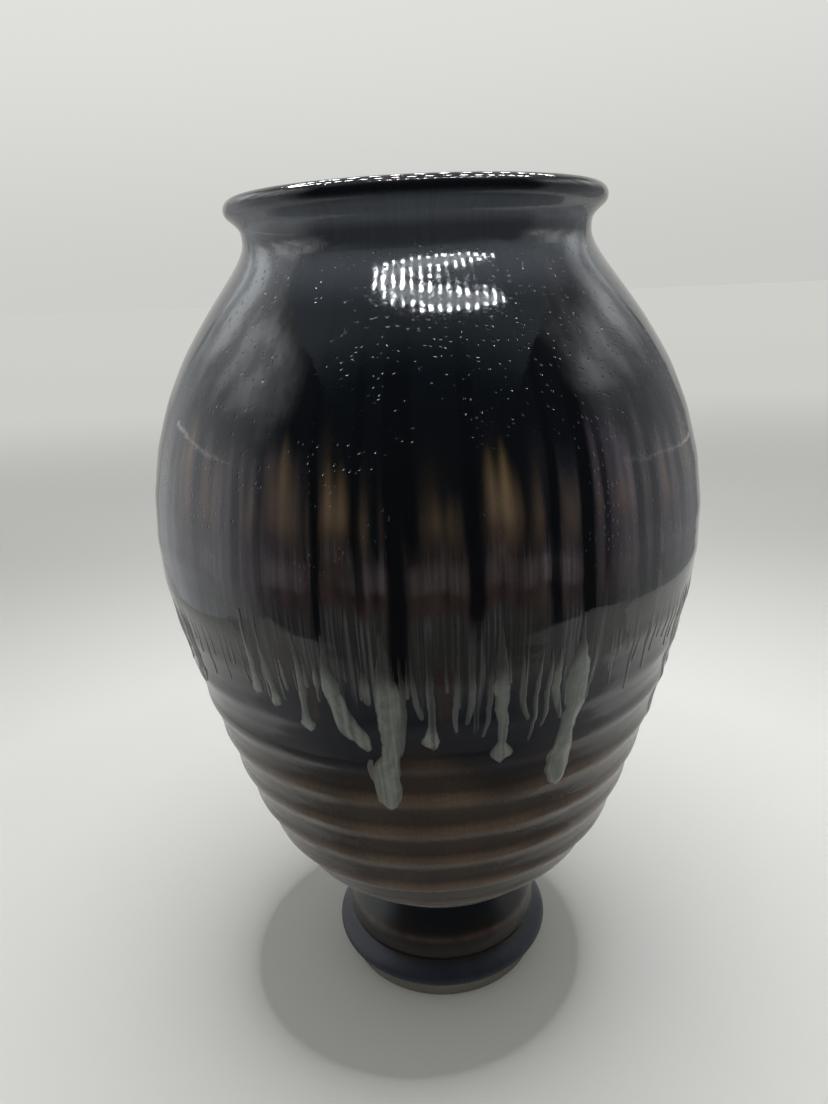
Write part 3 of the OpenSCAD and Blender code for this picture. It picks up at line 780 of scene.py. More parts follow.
# Roughness of the waist, the bead, the lip, the inside and the runs
WAIST_ROUGH, BEAD_ROUGH, LIP_ROUGH, LINER_ROUGH, RUN_ROUGH = 0.3, 0.42, 0.05, 0.2, 0.24
# How many times paler than the black the waist is, and how many times paler than the neck's painted
# reflection that under the lip is
WAIST_PALER, COVE_PALER = 2.4, 2


class Streaks:
    """The uneven waves that the edges and the streaks of the glaze follow."""

    def __init__(self, turn):
        self.sway = ripple(turn, "sway") * SWAY
        self.streak = ripple(turn, "streak")
        self.fine = ripple(turn, "fine")

    def grained(self, tone, amounts):
        """A tone that changes with the streaks and the fine lines."""
        return np.array(tone) * (1 + amounts[0] * self.streak + amounts[1] * self.fine)[:, None]


def blend(name, height):
    """How much of a look there is at the heights."""
    none, most, amount = BLENDS[name]
    return smooth(none, most, height) * amount


def flat(colour, turn):
    """The same colour in every row."""
    return np.tile(np.array(colour), (len(turn), 1))


def flame_strength(turn, height, marks, w):
    """How strongly the flames show."""
    flame = np.zeros_like(turn)
    for place, half, tip, strength in marks:
        lean = FLAME_LEAN * np.sin(height / FLAME_LEAN_HEIGHT + place)
        off = np.abs(nearest(turn, place) + lean) / half
        tip_here = tip + 1 - FLAME_TIP_ROUND * off ** 4 + 2.0 * w.streak + w.fine
        tall = smooth(0, FLAME_TIP, tip_here - height)
        flame = np.maximum(flame, strength * tall * smooth(*FLAME_SIDE, off))
    return flame


def dark_strength(turn, height, marks):
    """How strongly the dark runs show."""
    dark = np.zeros_like(turn)
    for place, half, low, strength in marks:
        sway = DARK_SWAY * np.sin(height / DARK_SWAY_HEIGHT + 2 * place)
        off = np.abs(nearest(turn, place) + sway) / half
        keep = smooth(low - DARK_END, low + DARK_END, height) * smooth(*DARK_SIDE, off)
        dark = np.maximum(dark, strength * keep)
    return dark


def upper_tone(turn, height, flames, w):
    """Flames and smoke over black, with a haze between the flames at the sides."""
    c = settings("vase_colours")
    tone = mix(np.array(c.mauve), c.tan, blend("tan", height + w.sway))
    tone = mix(tone, c.ochre, blend("ochre", height + w.sway))
    tone = w.grained(tone, FLAME_GRAIN)
    smoke = blend("smoke", height + 3 * w.sway) ** 2 * (SMOKE[0] + SMOKE[1] * w.streak)
    haze = smooth(*HAZE_START, np.abs(nearest(turn, 0))) * blend("haze", height + 2 * w.sway) \
        * smooth(*HAZE_STREAKS, w.streak + HAZE_SWAY * w.sway)
    flame = flame_strength(turn, height, flames, w)
    return mix(mix(flat(c.black, turn), c.haze, haze), tone,
               np.clip(np.maximum(flame, smoke), 0, 1))


def lower_tone(turn, height, h, w):
    """Bands from the rust ring over moss, slate and brown down to the foot."""
    c = settings("vase_colours")
    tone = w.grained(c.rust, RUST_GRAIN)
    tone = mix(tone, c.moss, blend("moss", h + w.streak))
    tone = mix(tone, c.slate, blend("slate", h + w.fine))
    edge = SLATE_EDGE + SLATE_SWAY * ripple(turn, "slate edge")
    tone = mix(tone, c.brown, smooth(edge + SLATE_SOFT, edge - SLATE_SOFT, height))
    crest = UMBER_PARTS[0] + UMBER_PARTS[1] * ring_crest(turn, height)
    tone = mix(tone, c.umber, smooth(edge, edge - UMBER_FADE, height) * crest
               * swing(turn, "umber", UMBER_SWING))
    return mix(tone, c.brown, blend("low brown", height))


def paint_values(turn, height):
    """Colours and finish of the glaze surface. Turn in degrees and height in mm, as arrays."""
    c = settings("vase_colours")
    more_dark, more_flames = hidden_marks()
    w = Streaks(turn)
    h = height + BAND_SWAY * w.sway
    join_height = JOIN_HEIGHT + JOIN_SWAY * w.sway
    tone = mix(upper_tone(turn, height, (*FLAMES, *more_flames), w), lower_tone(turn, height, h, w),
               smooth(join_height + JOIN_SOFT[0], join_height - JOIN_SOFT[1], height))

    # Painted sheen: the flanks, as seen from the front, paler and bluer
    aside = np.abs(nearest(turn, 0))
    flank_sheen = smooth(*FLANK_SHEEN_START, aside) * smooth(*FLANK_SHEEN_END, aside) \
        * blend("veil top", height + 2 * w.sway) * blend("veil foot", height)
    tone = mix(tone, c.flank_sheen, flank_sheen)

    dark = dark_strength(turn, height, (*DARK_RUNS, *more_dark))
    tone = mix(tone, np.array(c.black) * DARK_TONE, np.minimum(dark * DARK_GAIN, DARK_MOST))
    # Painted reflection: the neck turns paler grey-blue
    tone = mix(tone, c.neck_sheen, blend("neck_sheen", height))

    # Fur: how much of it, and its colour
    lilac = blend("lilac foot", h) * blend("lilac top", h) * swing(turn, "lilac", LILAC_FUR)
    moss = blend("fur top", h + w.streak) * blend("fur foot", h + 3 * w.fine) \
        * swing(turn, "cluster", MOSS_FUR)
    crown = blend("crown top", h) * blend("crown foot", h)
    fur = np.clip(np.maximum.reduce([LILAC_SHARE * lilac, moss, crown]), 0, 1)
    tint = LILAC_TINT * lilac * (1 - dark) * (1 + LILAC_LINES * w.fine)
    tone = mix(tone, c.lilac, np.clip(tint, 0, 1))
    outside, inside = GAP_ENDS
    for place, half, low, high in FUR_GAPS:
        gap = smooth(*GAP_SIDE, np.abs(nearest(turn, place)) / half) \
            * smooth(low - outside, low + inside, height) \
            * smooth(high + outside, high - inside, height)
        fur = fur * (1 - gap)
        tone = mix(tone, c.rust, gap * GAP_RUST)
    fur_tone = mix(flat(c.fur, turn), c.lilac, blend("lilac fur", h))

    # The finish: satin on the bowl, glossy above
    rough = mix(BOWL_ROUGH, BELLY_ROUGH, smooth(*SATIN_END, height)) - blend("gloss", height)
    pits = blend("pits foot", height) * blend("pits top", height)
    return {"tone": tone, "fur_tone": fur_tone, "fur": fur * (1 - dark), "rough": rough,
            "pits": pits}


# Where on a ring's wave, from -1 in the hollow to 1 on top, its crest starts
CREST_START = -0.3


def ring_crest(turn, height):
    """1 on a throwing ring's crest and 0 in a hollow, at about the places of the tree's rings."""
    rings = settings("vase_rings")
    phase = (height * MM - rings.crest) / rings.pitch * FULL_TURN - np.radians(turn)
    return smooth(CREST_START, 1, np.cos(phase))


def furless(tone, rough, pits=0.0):
    """The values of a glaze without fur."""
    zero = np.zeros(len(tone))
    return {"tone": tone, "fur_tone": tone, "fur": zero, "rough": zero + rough,
            "pits": zero + pits}


# The foot's looks, in mm: where its black starts over the ridge and is full under the waist
WAIST_BLACK = (1, 3)
# The brown line over the ridge: its height over it, half its width, and its strength and swing
RIDGE_LINE, RIDGE_SWING = (0.4, 0.9), (0.75, 0.2)
# Half the height over which the navy of the bead comes in at the groove, and its swing
NAVY_SOFT, NAVY_SWING = 1.5, (0.9, 0.1)
# Where umber starts and is full over the waist, how much, and how soon the groove turns rough
FOOT_UMBER, FOOT_UMBER_MOST, GROOVE_SOFT = (2, 7), 0.7, 2
# The lip's looks, in mm: where its brown starts under the crest and is full over it, its swing
LIP_BREAK, LIP_SWING = (1.6, 0.6), (0.22, 0.1)
# Where the painted reflection under the lip starts and is full below the crest, how much of it the
# neck's narrowest ring has, and how far over that ring it is full
COVE_SHEEN, NECK_SHEEN, NECK_SOFT = (2.5, 6), 0.4, 4
# How uneven the inside is, and how pitted the lip and the inside are
LINER_SWING, FEW_PITS = (1, 0.2), 0.2


def foot_values(turn, height):
    """Colours of the foot's glaze: it breaks brown on the ridge and turns navy on the bead."""
    c, foot = settings("vase_colours"), settings("vase_foot")
    waist = foot.waist_height / MM
    ridge = foot.ridge_height / MM
    groove = foot.groove_height / MM
    tone = mix(flat(c.brown, turn), np.array(c.black) * WAIST_PALER,
               smooth(ridge + WAIST_BLACK[0], waist - WAIST_BLACK[1], height))
    tone = mix(tone, c.broken, np.exp(-((height - ridge - RIDGE_LINE[0]) / RIDGE_LINE[1]) ** 2)
               * swing(turn, "ridge", RIDGE_SWING))
    tone = mix(tone, c.navy, smooth(groove + NAVY_SOFT, groove - NAVY_SOFT, height)
               * swing(turn, "bead", NAVY_SWING))
    tone = mix(tone, c.umber, FOOT_UMBER_MOST
               * smooth(waist + FOOT_UMBER[0], waist + FOOT_UMBER[1], height))
    return furless(tone, mix(WAIST_ROUGH, BEAD_ROUGH, smooth(groove + GROOVE_SOFT, groove, height)))


def lip_values(turn, height):
    """Colours of the neck and the lip: black, breaking brown where it thins over the crest, with a
    paler grey-blue painted reflection on the neck and under the roll.
    """
    c, f = settings("vase_colours"), settings("vase_form")
    crest = (f.lip_height + f.lip_roll) / MM
    neck = f.neck_height / MM
    edge = smooth(crest - LIP_BREAK[0], crest + LIP_BREAK[1], height) \
        * swing(turn, "lip", LIP_SWING)
    tone = mix(flat(c.black, turn), c.broken, np.clip(edge, 0, 1))
    cove = smooth(crest - COVE_SHEEN[0], crest - COVE_SHEEN[1], height) \
        * mix(NECK_SHEEN, 1.0, smooth(neck, neck + NECK_SOFT, height))
    return furless(mix(tone, np.array(c.neck_sheen) * COVE_PALER, cove), LIP_ROUGH, FEW_PITS)


def liner_values(turn, height):
    """Colours of the glaze inside, which don't change with the height."""
    tone = flat(settings("vase_colours").liner, turn)
    return furless(tone * swing(turn, "liner", LINER_SWING)[:, None], LINER_ROUGH, FEW_PITS)


def corners_of(mesh):
    """Turn in degrees and height in mm of each vertex."""
    co = np.zeros(len(mesh.vertices) * 3)
    mesh.vertices.foreach_get("co", co)
    x, y, z = co.reshape(-1, 3).T
    return np.degrees(np.arctan2(x, -y)), z / MM


def write_values(mesh, values):
    """Stores painted values on the mesh's vertices."""
    for name, array in values.items():
        array = np.clip(array, 0, 1)
        if array.ndim == 2:
            array = np.hstack([array, np.ones((len(array), 1))])
        store(mesh, name, array)


def make_turned(name, node, outline, material, values_of=None):
    """Turns a piece, paints it by turn and height where it has a paint, and seats it."""
    obj = turn_piece(name, outline, material)
    if values_of:
        write_values(obj.data, values_of(*corners_of(obj.data)))
    place_piece(obj, node)


# Materials


def new_material(name):
    """A material, its tree and its Principled shader."""
    material = bpy.data.materials.new(name)
    material.use_nodes = True
    return material, material.node_tree, material.node_tree.nodes["Principled BSDF"]


def finish_shader(tree, shader, tone, shade, relief, depth):
    """Shades a tone and presses a relief of the depth into a shader."""
    tinted = add_node(tree, "ShaderNodeVectorMath", {0: tone, 1: join(tree, shade, shade, shade)},
                      operation="MULTIPLY")
    bump = add_node(tree, "ShaderNodeBump",
                    {"Strength": 1.0, "Distance": depth, "Height": relief})
    plug_all(tree, shader, {"Base Color": tinted, "Normal": bump})


# Streaks in the glaze: how fast they change across and along the height, scale and detail
THREAD = (95.0, 22.0, 1.0, 3.0)
HAIR = (260.0, 60.0)
CLUMP = (30.0, 14.0)
# Fur out of thread and hair: the part of each, their contrast, and where fur starts and is full
FUR_PARTS, FUR_CONTRAST, FUR_STEP = (0.95, 0.4), 4.2, (0.15, 0.95)
# Where a clump of fur starts and is full, and how much fur lies outside and inside it
CLUMP_STEP = (-0.14, 0.10, 0.35, 1.15)
# Scale and detail of the fine grain, and how far it changes the tone and the roughness
GRAIN, GRAIN_TONE, GRAIN_ROUGH = (900.0, 2.0), 4.0, 0.05
# Pits: scale of their cells, which cells have one, its edge, and the patches where they lie
PIT_SCALE, PIT_CELLS, PIT_EDGE = 720.0, (0.66, 0.72), (0.16, 0.34)
PATCH_SCALE, PATCH_STEP = 34.0, (-0.10, 0.06)
# Scale and detail of the orange peel, and how deep the pits are against it
PEEL, PIT_DEPTH = (330.0, 1.0), 0.42
# How glass bends light, and how soft the bloom on the satin glaze is
GLASS_IOR, BLOOM_ROUGH = 1.5, 0.3
# Depth of the relief in the glaze and in the bare clay
GLAZE_RELIEF, CLAY_RELIEF = 0.35 * MM, 0.25 * MM


def glaze_material(name, peel=0.10, speckle=0.10, gloss=0.5, bloom=0.0, strands=0.35):
    """Fired glaze: painted tones with fur, fine streaks, speckle, pits and orange peel."""
    material, tree, shader = new_material(name)
    place = tree.nodes.new("ShaderNodeTexCoord").outputs["Object"]
    _, around = round_place(tree, place)

    def painted(attribute, output="Fac"):
        socket = add_node(tree, "ShaderNodeAttribute", attribute_name=attribute).outputs[output]
        return Field(tree, socket)

    thread, hair, clump = (streak_noise(tree, around, *look) for look in (THREAD, HAIR, CLUMP))
    fur = ((thread * FUR_PARTS[0] + hair * FUR_PARTS[1]) * FUR_CONTRAST + 0.5).step(*FUR_STEP) \
        * clump.step(*CLUMP_STEP) * painted("fur")
    body = add_node(tree, "ShaderNodeMix", data_type="RGBA")
    for slot, value in (("Factor", fur), (6, painted("tone", "Color")),
                        (7, painted("fur_tone", "Color"))):
        plug(tree, body.inputs[slot], value)
    grain = noise(tree, place, *GRAIN)
    shade = thread * strands + grain * speckle * GRAIN_TONE + 1.0

    cells = add_node(tree, "ShaderNodeTexVoronoi", {"Vector": place, "Scale": PIT_SCALE})
    draw = add_node(tree, "ShaderNodeSeparateColor", {"Color": cells.outputs["Color"]}).outputs[0]
    pit = Field(tree, cells.outputs["Distance"]).step(*PIT_EDGE) - 1.0
    pits = pit * Field(tree, draw).step(*PIT_CELLS) \
        * noise(tree, place, PATCH_SCALE).step(*PATCH_STEP) * painted("pits")
    relief = pits * PIT_DEPTH + noise(tree, place, *PEEL) * peel
    finish_shader(tree, shader, body.outputs[2], shade, relief, GLAZE_RELIEF)
    plug_all(tree, shader, {
        "Roughness": painted("rough") + grain * GRAIN_ROUGH, "IOR": GLASS_IOR,
        "Specular IOR Level": gloss, "Sheen Weight": bloom, "Sheen Roughness": BLOOM_ROUGH})
    return material


# Scale and detail of the sand and the clouds in the bare clay, and the fine lines of turning
SAND, CLOUDS, TURNING_LINES = (1400.0, 4.0), (90.0, 3.0), (2.0, 2400.0)
# How much sand, clouds and lines change the tone, and sand and lines the relief
CLAY_TONE, CLAY_BUMPS, CLAY_ROUGH = (0.5, 0.35, 0.25), (0.6, 0.5), 0.88
# Grog: scale of its cells, and the edge and the tone of a dark fleck
GROG_SCALE, GROG_FLECK = 700.0, (0.14, 0.26, 0.55, 1.0)


def clay_material():
    """Bare fired clay: sandy and clouded, with dark flecks of grog and fine turning lines."""
    material, tree, shader = new_material("bare_stoneware")
    place = tree.nodes.new("ShaderNodeTexCoord").outputs["Object"]
    sand = noise(tree, place, *SAND)
    cloud = noise(tree, place, *CLOUDS)
    lines = streak_noise(tree, round_place(tree, place)[1], *TURNING_LINES)
    grog = add_node(tree, "ShaderNodeTexVoronoi", {"Vector": place, "Scale": GROG_SCALE})
    fleck = Field(tree, grog.outputs["Distance"]).step(*GROG_FLECK)
    shade = sand * CLAY_TONE[0] + cloud * CLAY_TONE[1] + lines * CLAY_TONE[2] + 1.0
    finish_shader(tree, shader, tuple(settings("vase_colours").clay), shade * fleck,
                  sand * CLAY_BUMPS[0] + lines * CLAY_BUMPS[1], CLAY_RELIEF)
    plug_all(tree, shader, {"Roughness": CLAY_ROUGH})
    return material


# The stage. Places are in metres, and distances behind the vase's axis are along Y.

# Half the floor's width, and how pale it is at each distance behind the vase's axis, with painted
# shade: darker near the vase and the camera than far off
FLOOR_HALF = 12
FLOOR_PAINTED_SHADE = ((-3.5, 0.92), (-1.2, 0.86), (-0.45, 0.68), (-0.30, 0.56), (0.0, 0.58), (0.27, 0.61),
               (0.50, 0.60), (0.75, 0.64), (1.7, 0.80), (3.5, 0.83))
FLOOR_TINT, FLOOR_ROUGH, FLOOR_SHINE = (1, 1.005, 0.98), 0.9, 0.1
# The far floor's painted glow, which only the camera sees: where it starts, where it is full, how much
FLOOR_CAMERA_GLOW = (0.45, 1.9, 0.13)
# The backdrop: its tint, its glow from just under the horizon to high up, and its slope sideways
BACKDROP_TINT = (1.0, 1.0, 0.965, 1.0)
BACKDROP_GLOW, BACKDROP_SLOPE = (-0.02, 0.30, 0.60, 0.74), 0.03
WHITE = (1.0, 1.0, 1.0)
RING_LAMP_PLACE, RING_LAMP_SIDES = (0.027, 0.017), 96
# The lamp's lit front: its middle, half its length and width, its slope, its bend and its parts
FRONT_MIDDLE = (0.0525, -0.1725)
FRONT_HALF = (0.1575, 0.0125)
FRONT_SLOPE = 0.077
FRONT_BEND = 1.7
FRONT_PARTS = 25
FRONT_TINT = (0.9, 0.95, 1.0)
# Small lamps in the front: how many in a row, their radius, sides and tint
DIODE_ROW, DIODE_RADIUS, DIODE_SIDES, DIODE_TINT = 15, 0.0034, 8, (0.92, 0.96, 1.0)
# The back of the lamp, which only the lip mirrors: the middle and the radii of its oval, and the
# radius of its small lamps with the first turn, the end and the step of their row
RING_BACK = (0.05, 0.08, 0.30, 0.115)
BACK_DIODE_RADIUS, BACK_DIODE_TURNS = 0.0080, (44, 317, 6)
# The room in the glaze: distances of its sides, front and back from the axis, and its height
ROOM_SIDE, ROOM_FRONT, ROOM_BACK, ROOM_TOP = 0.43, 0.52, 0.45, 0.72
ROOM_TINT, WALL_TINT, CEILING_TINT = (0.9, 0.96, 1.0), (0.945, 0.985, 1.01), (0.86, 1.0, 1.1)
# The side walls: how high they are pale and over which distances they come up behind the front
WALL_TOPS, WALL_STARTS = (0.69, 0.60), ((-0.30, -0.06), (-0.20, -0.07))
# Heights over which a wall's top fades and what is left, and how it fades towards the back
TOP_FADE, TOP_LEFT, BACK_FADE = (-0.12, 0.02), 0.24, (0.20, 0.45, 1.0, 0.6)
# Heights over which the lamp lights the walls
LAMP_SIDE = (0.34, 0.52)
# Soft patches all over a wall and clouds high up on it: how fast they change across and along
WALL_PATCHES, WALL_CLOUDS, CLOUD_STEP = (9.0, 2.5), (11.0, 7.0, 3.0), (-0.12, 0.10)
PATCH_AMOUNT, CLOUD_HEIGHTS = 0.5, (0.30, 0.42, 0.0, 0.4)
# Pale creases in the side walls: distances behind the axis and heights
LEFT_CREASE = ((0.25, 0.265), (-0.10, 0.31))
RIGHT_CREASE = ((0.42, 0.17), (-0.10, 0.265))
CREASE_HALF, CREASE_GLOW, CREASE_TINT = 0.0025, 1.9, (0.98, 1.0, 1.0)
# The ceiling: how far back it reaches, and the distances over which it comes up
CEILING_END, CEILING_START = 0.30, (-0.46, -0.14)
# The floor in front of the vase in the glaze: its end, its height and tint, its lowest and
# highest glow, the distances where it starts to glow, and those where it is nearer the vase
NEAR_FLOOR_END, NEAR_FLOOR_HEIGHT, NEAR_FLOOR_TINT = -0.06, 0.8 * MM, (1.0, 1.0, 0.98)
FLOOR_GLOW, NEAR_FLOOR_START, NEAR_FLOOR_RISE = (0.15, 0.52), (-0.255, -0.222), (-0.21, -0.06)
# How much of its glow it has there, and the distances sideways where it has all of it
NEAR_FLOOR_SHARE, NEAR_FLOOR_SIDES = 0.12, (0.08, 0.30)
# Width of the camera's sensor, in mm, and the nearest distance that it sees
SENSOR_WIDTH, CLIP_START = 36.0, 0.01


def add_mesh(name, corners, faces):
    """A new object from corners and faces."""
    mesh = bpy.data.meshes.new(name)
    mesh.from_pydata([tuple(corner) for corner in corners], [], faces)
    obj = bpy.data.objects.new(name, mesh)
    bpy.context.scene.collection.objects.link(obj)
    return obj


def glow(obj, name, tint, strength):
    """Makes a part of the stage shine."""
    material, tree, shader = new_material(name)
    plug_all(tree, shader, {"Base Color": (0, 0, 0, 1), "Specular IOR Level": 0,
                            "Emission Color": (*tint, 1.0), "Emission Strength": strength})
    obj.data.materials.append(material)


def mirrored(obj, name, tint, strength):
    """Makes a part of the stage shine for the glaze's reflections only."""
    glow(obj, name, tint, strength)
    for kind in ("camera", "diffuse", "transmission", "volume_scatter", "shadow"):
        setattr(obj, "visible_" + kind, False)


def card(name, corners, look, tint, strength=1.0):
    """A mirrored sheet with one face: its tree, the slot of its glow and its place as fields."""
    obj = add_mesh(name, corners, [tuple(range(len(corners)))])
    mirrored(obj, look, tint, strength)
    tree = obj.data.materials[0].node_tree
    place = split(tree, tree.nodes.new("ShaderNodeTexCoord").outputs["Object"])
    return tree, tree.nodes["Principled BSDF"].inputs["Emission Strength"], place


def even_turns(count):
    """Turns in radians, evenly round a circle."""
    return [FULL_TURN * i / count for i in range(count)]


def oval(middle, radii, turns):
    """Points on an oval at the turns."""
    return [(middle[0] + radii[0] * math.cos(a), middle[1] + radii[1] * math.sin(a)) for a in turns]


def lamp_front(along, across):
    """A point in the lamp's curved front. Along runs from end to end, across from side to side."""
    off = along * FRONT_HALF[0]
    return (FRONT_MIDDLE[0] + off, FRONT_MIDDLE[1] + FRONT_SLOPE * off
            + FRONT_BEND * off * off + across * FRONT_HALF[1] * math.sqrt(1 - along ** 2))


# Operators

# Step of the clay's outlines, and of the coats': outside, outside round the belly, and inside
CLAY_STEP, COAT_STEP, BELLY_STEP, UNDER_STEP = 2.5 * MM, MM, 0.8 * MM, 10 * MM
# Size of the rubbed edge of the standing ring
STAND_EDGE = 0.6 * MM
# The foot's glaze thins out towards its lower edge: its thickness at the first rows
FOOT_EDGE = (0.55, 0.8, 0.93, 0.99)
# How many rows of the band's outside go to one of its underside
BAND_UNDER = 6


class VaseOperator:
    """What the operators share."""

    bl_options = {"REGISTER"}


class VASE_OT_clay(VaseOperator, bpy.types.Operator):
    """Turn the four clay sections"""

    bl_idname = "vase.clay"
    bl_label = "Clay sections"

    def execute(self, context):
        f, foot = settings("vase_form"), settings("vase_foot")
        clay = clay_material()

        recess = bezier(((foot.bore, f.joint_height), (foot.bore, f.joint_height * 2 / 3),
                         (foot.stand_bore, f.joint_height / 3), (foot.stand_bore, 0.0)),
                        RECESS_PARTS)
        edge, bevel = STAND_EDGE, STAND_EDGE * 0.3
        pedestal = Outline()
        pedestal.corner(foot.stand_bore + edge / 2, 0.0).corner(foot.stand - edge, 0.0)
        pedestal.corner(foot.stand - bevel, bevel).corner(foot.stand + bevel, edge)
        pedestal.add(foot_rows())
        pedestal.corner((f.joint + foot.bore) / 2, f.joint_height + f.tongue)
        pedestal.add(recess[:-1])
        make_turned("foot_clay", "foot_pedestal", pedestal, clay)

        def section(low, high, with_floor):
            rows = wall_rows(levels(low, high, CLAY_STEP))
            inner = wall_rows(levels(f.floor if with_floor else low, high, CLAY_STEP))[::-1]
            outline = Outline()
            if with_floor:
                outline.corner(0.0, low)
            outline.add(rows, 0.0, ring_strength(rows[:, 1]))
            outline.add(inner, -f.wall)
            if with_floor:
                outline.corner(f.joint, f.floor).corner(0.0, f.floor)
            return outline

        neck = wall_rows(levels(f.collar_height, f.neck_height, CLAY_STEP))
        collar = Outline().add(neck).add(lip_rows()).add(neck[::-1][1:], -f.wall)
        for name, node, outline in (
                ("lower_clay", "lower_body", section(f.joint_height, f.seam_height, True)),
                ("upper_clay", "upper_body", section(f.seam_height, f.collar_height, False)),
                ("neck_clay", "neck_collar", collar)):
            make_turned(name, node, outline, clay)
        return {"FINISHED"}


class VASE_OT_coats(VaseOperator, bpy.types.Operator):
    """Pour the dark glazes over the outside"""

    bl_idname = "vase.coats"
    bl_label = "Glaze coats"

    def execute(self, context):
        f, g = settings("vase_form"), settings("vase_glaze")

        rows = foot_rows()
        over = np.full(len(rows), g.coat)
        over[:len(FOOT_EDGE)] *= FOOT_EDGE
        make_turned("foot_coat", "foot_glaze", Outline().add(rows, over).add(rows[::-1]),
                    glaze_material("navy_glaze", peel=0.16), foot_values)

        def coat(low, high, step):
            outer = wall_rows(levels(low, high, step))
            inner = wall_rows(levels(low, high, UNDER_STEP))[::-1]
            return Outline().add(outer, g.coat, ring_strength(outer[:, 1])).add(
                inner, 0.0, ring_strength(inner[:, 1]))

        for name, node, slot, outline, looks in (
                ("bowl_coat", "lower_body_glaze", "brown_glaze",
                 coat(f.joint_height, g.overlap_low, COAT_STEP),
                 {"peel": 0.16, "speckle": 0.16, "gloss": 0.24, "bloom": 0.22}),
                ("belly_coat", "belly_overlap_glaze", "overlap_glaze",
                 coat(g.overlap_low, g.overlap_high, BELLY_STEP), {}),
                ("shoulder_coat", "shoulder_glaze", "black_glaze",
                 coat(g.overlap_high, f.collar_height, COAT_STEP),
                 {"peel": 0.07, "speckle": 0.05})):
            make_turned(name, node, outline, glaze_material(slot, **looks), paint_values)

        rows = np.vstack([wall_rows(levels(f.collar_height, f.neck_height, COAT_STEP)), lip_rows()])
        make_turned("lip_coat", "lip_glaze", Outline().add(rows, g.coat).add(rows[::-1]),
                    glaze_material("lip_glaze", peel=0.07, speckle=0.05), lip_values)
        return {"FINISHED"}


class VASE_OT_liner(VaseOperator, bpy.types.Operator):
    """Pour the glaze inside"""

    bl_idname = "vase.liner"
    bl_label = "Liner glaze"

    def execute(self, context):
        f, g = settings("vase_form"), settings("vase_glaze")
        rows = wall_rows(levels(f.floor, f.neck_height, 2 * COAT_STEP))
        inner = Outline()
        inner.corner(0.0, f.floor).corner(f.joint, f.floor)
        inner.add(rows, -f.wall).add(rows[::-1], -f.wall - g.liner)
        inner.corner(f.joint - g.liner, f.floor + g.liner).corner(0.0, f.floor + g.liner)
        make_turned("liner_coat", "liner_glaze", inner,
                    glaze_material("liner_glaze"), liner_values)
        return {"FINISHED"}


class VASE_OT_pale_band(VaseOperator, bpy.types.Operator):
    """Lay the pale glaze round the belly"""

    bl_idname = "vase.pale_band"
    bl_label = "Pale band"

    def execute(self, context):
        g = settings("vase_glaze")
        rows = wall_rows(levels(g.band_low, g.band_high, BELLY_STEP))
        thick = smooth(0, g.band_fade, rows[:, 1] - g.band_low) \
            * smooth(0, g.band_taper, g.band_high - rows[:, 1])
        over = g.coat + (g.band + g.band_seat) * thick - g.band_seat
        rings = ring_strength(rows[:, 1])
        outline = Outline().add(rows, over, rings)
        outline.add(rows[::-BAND_UNDER], g.coat - 2 * g.run_sink, rings[::-BAND_UNDER])
        make_turned("pale_band", "pale_glaze_band", outline,
                    glaze_material("pale_band_glaze"), paint_values)
        return {"FINISHED"}


# Ragged edges of the runs: how fast they change across and along and their detail, their reach
# in mm, and how many times narrower than a wide run the first run with the full reach is
RAGGED, RAGGED_REACH, RAGGED_THIN = (340.0, 240.0, 3.0), 2.8, 1.6
# A wide run's half width, one step along a run, and the sides of a run's ring
WIDE_HALF, RUN_STEP, RUN_SIDES = 4 * MM, 0.8 * MM, 14
# Steps between two places of a run before it is cut into even ones
RUN_FINENESS = 12
# How flat a run's crown is, and how high the thinnest run stands against a wide one
RUN_CROWN, THIN_RISE = 1.4, 0.35
# How much deeper than its edges the underside of a run lies, and how deep the edges lie
UNDER_SINK, EDGE_SINK = 2.0, 0.3


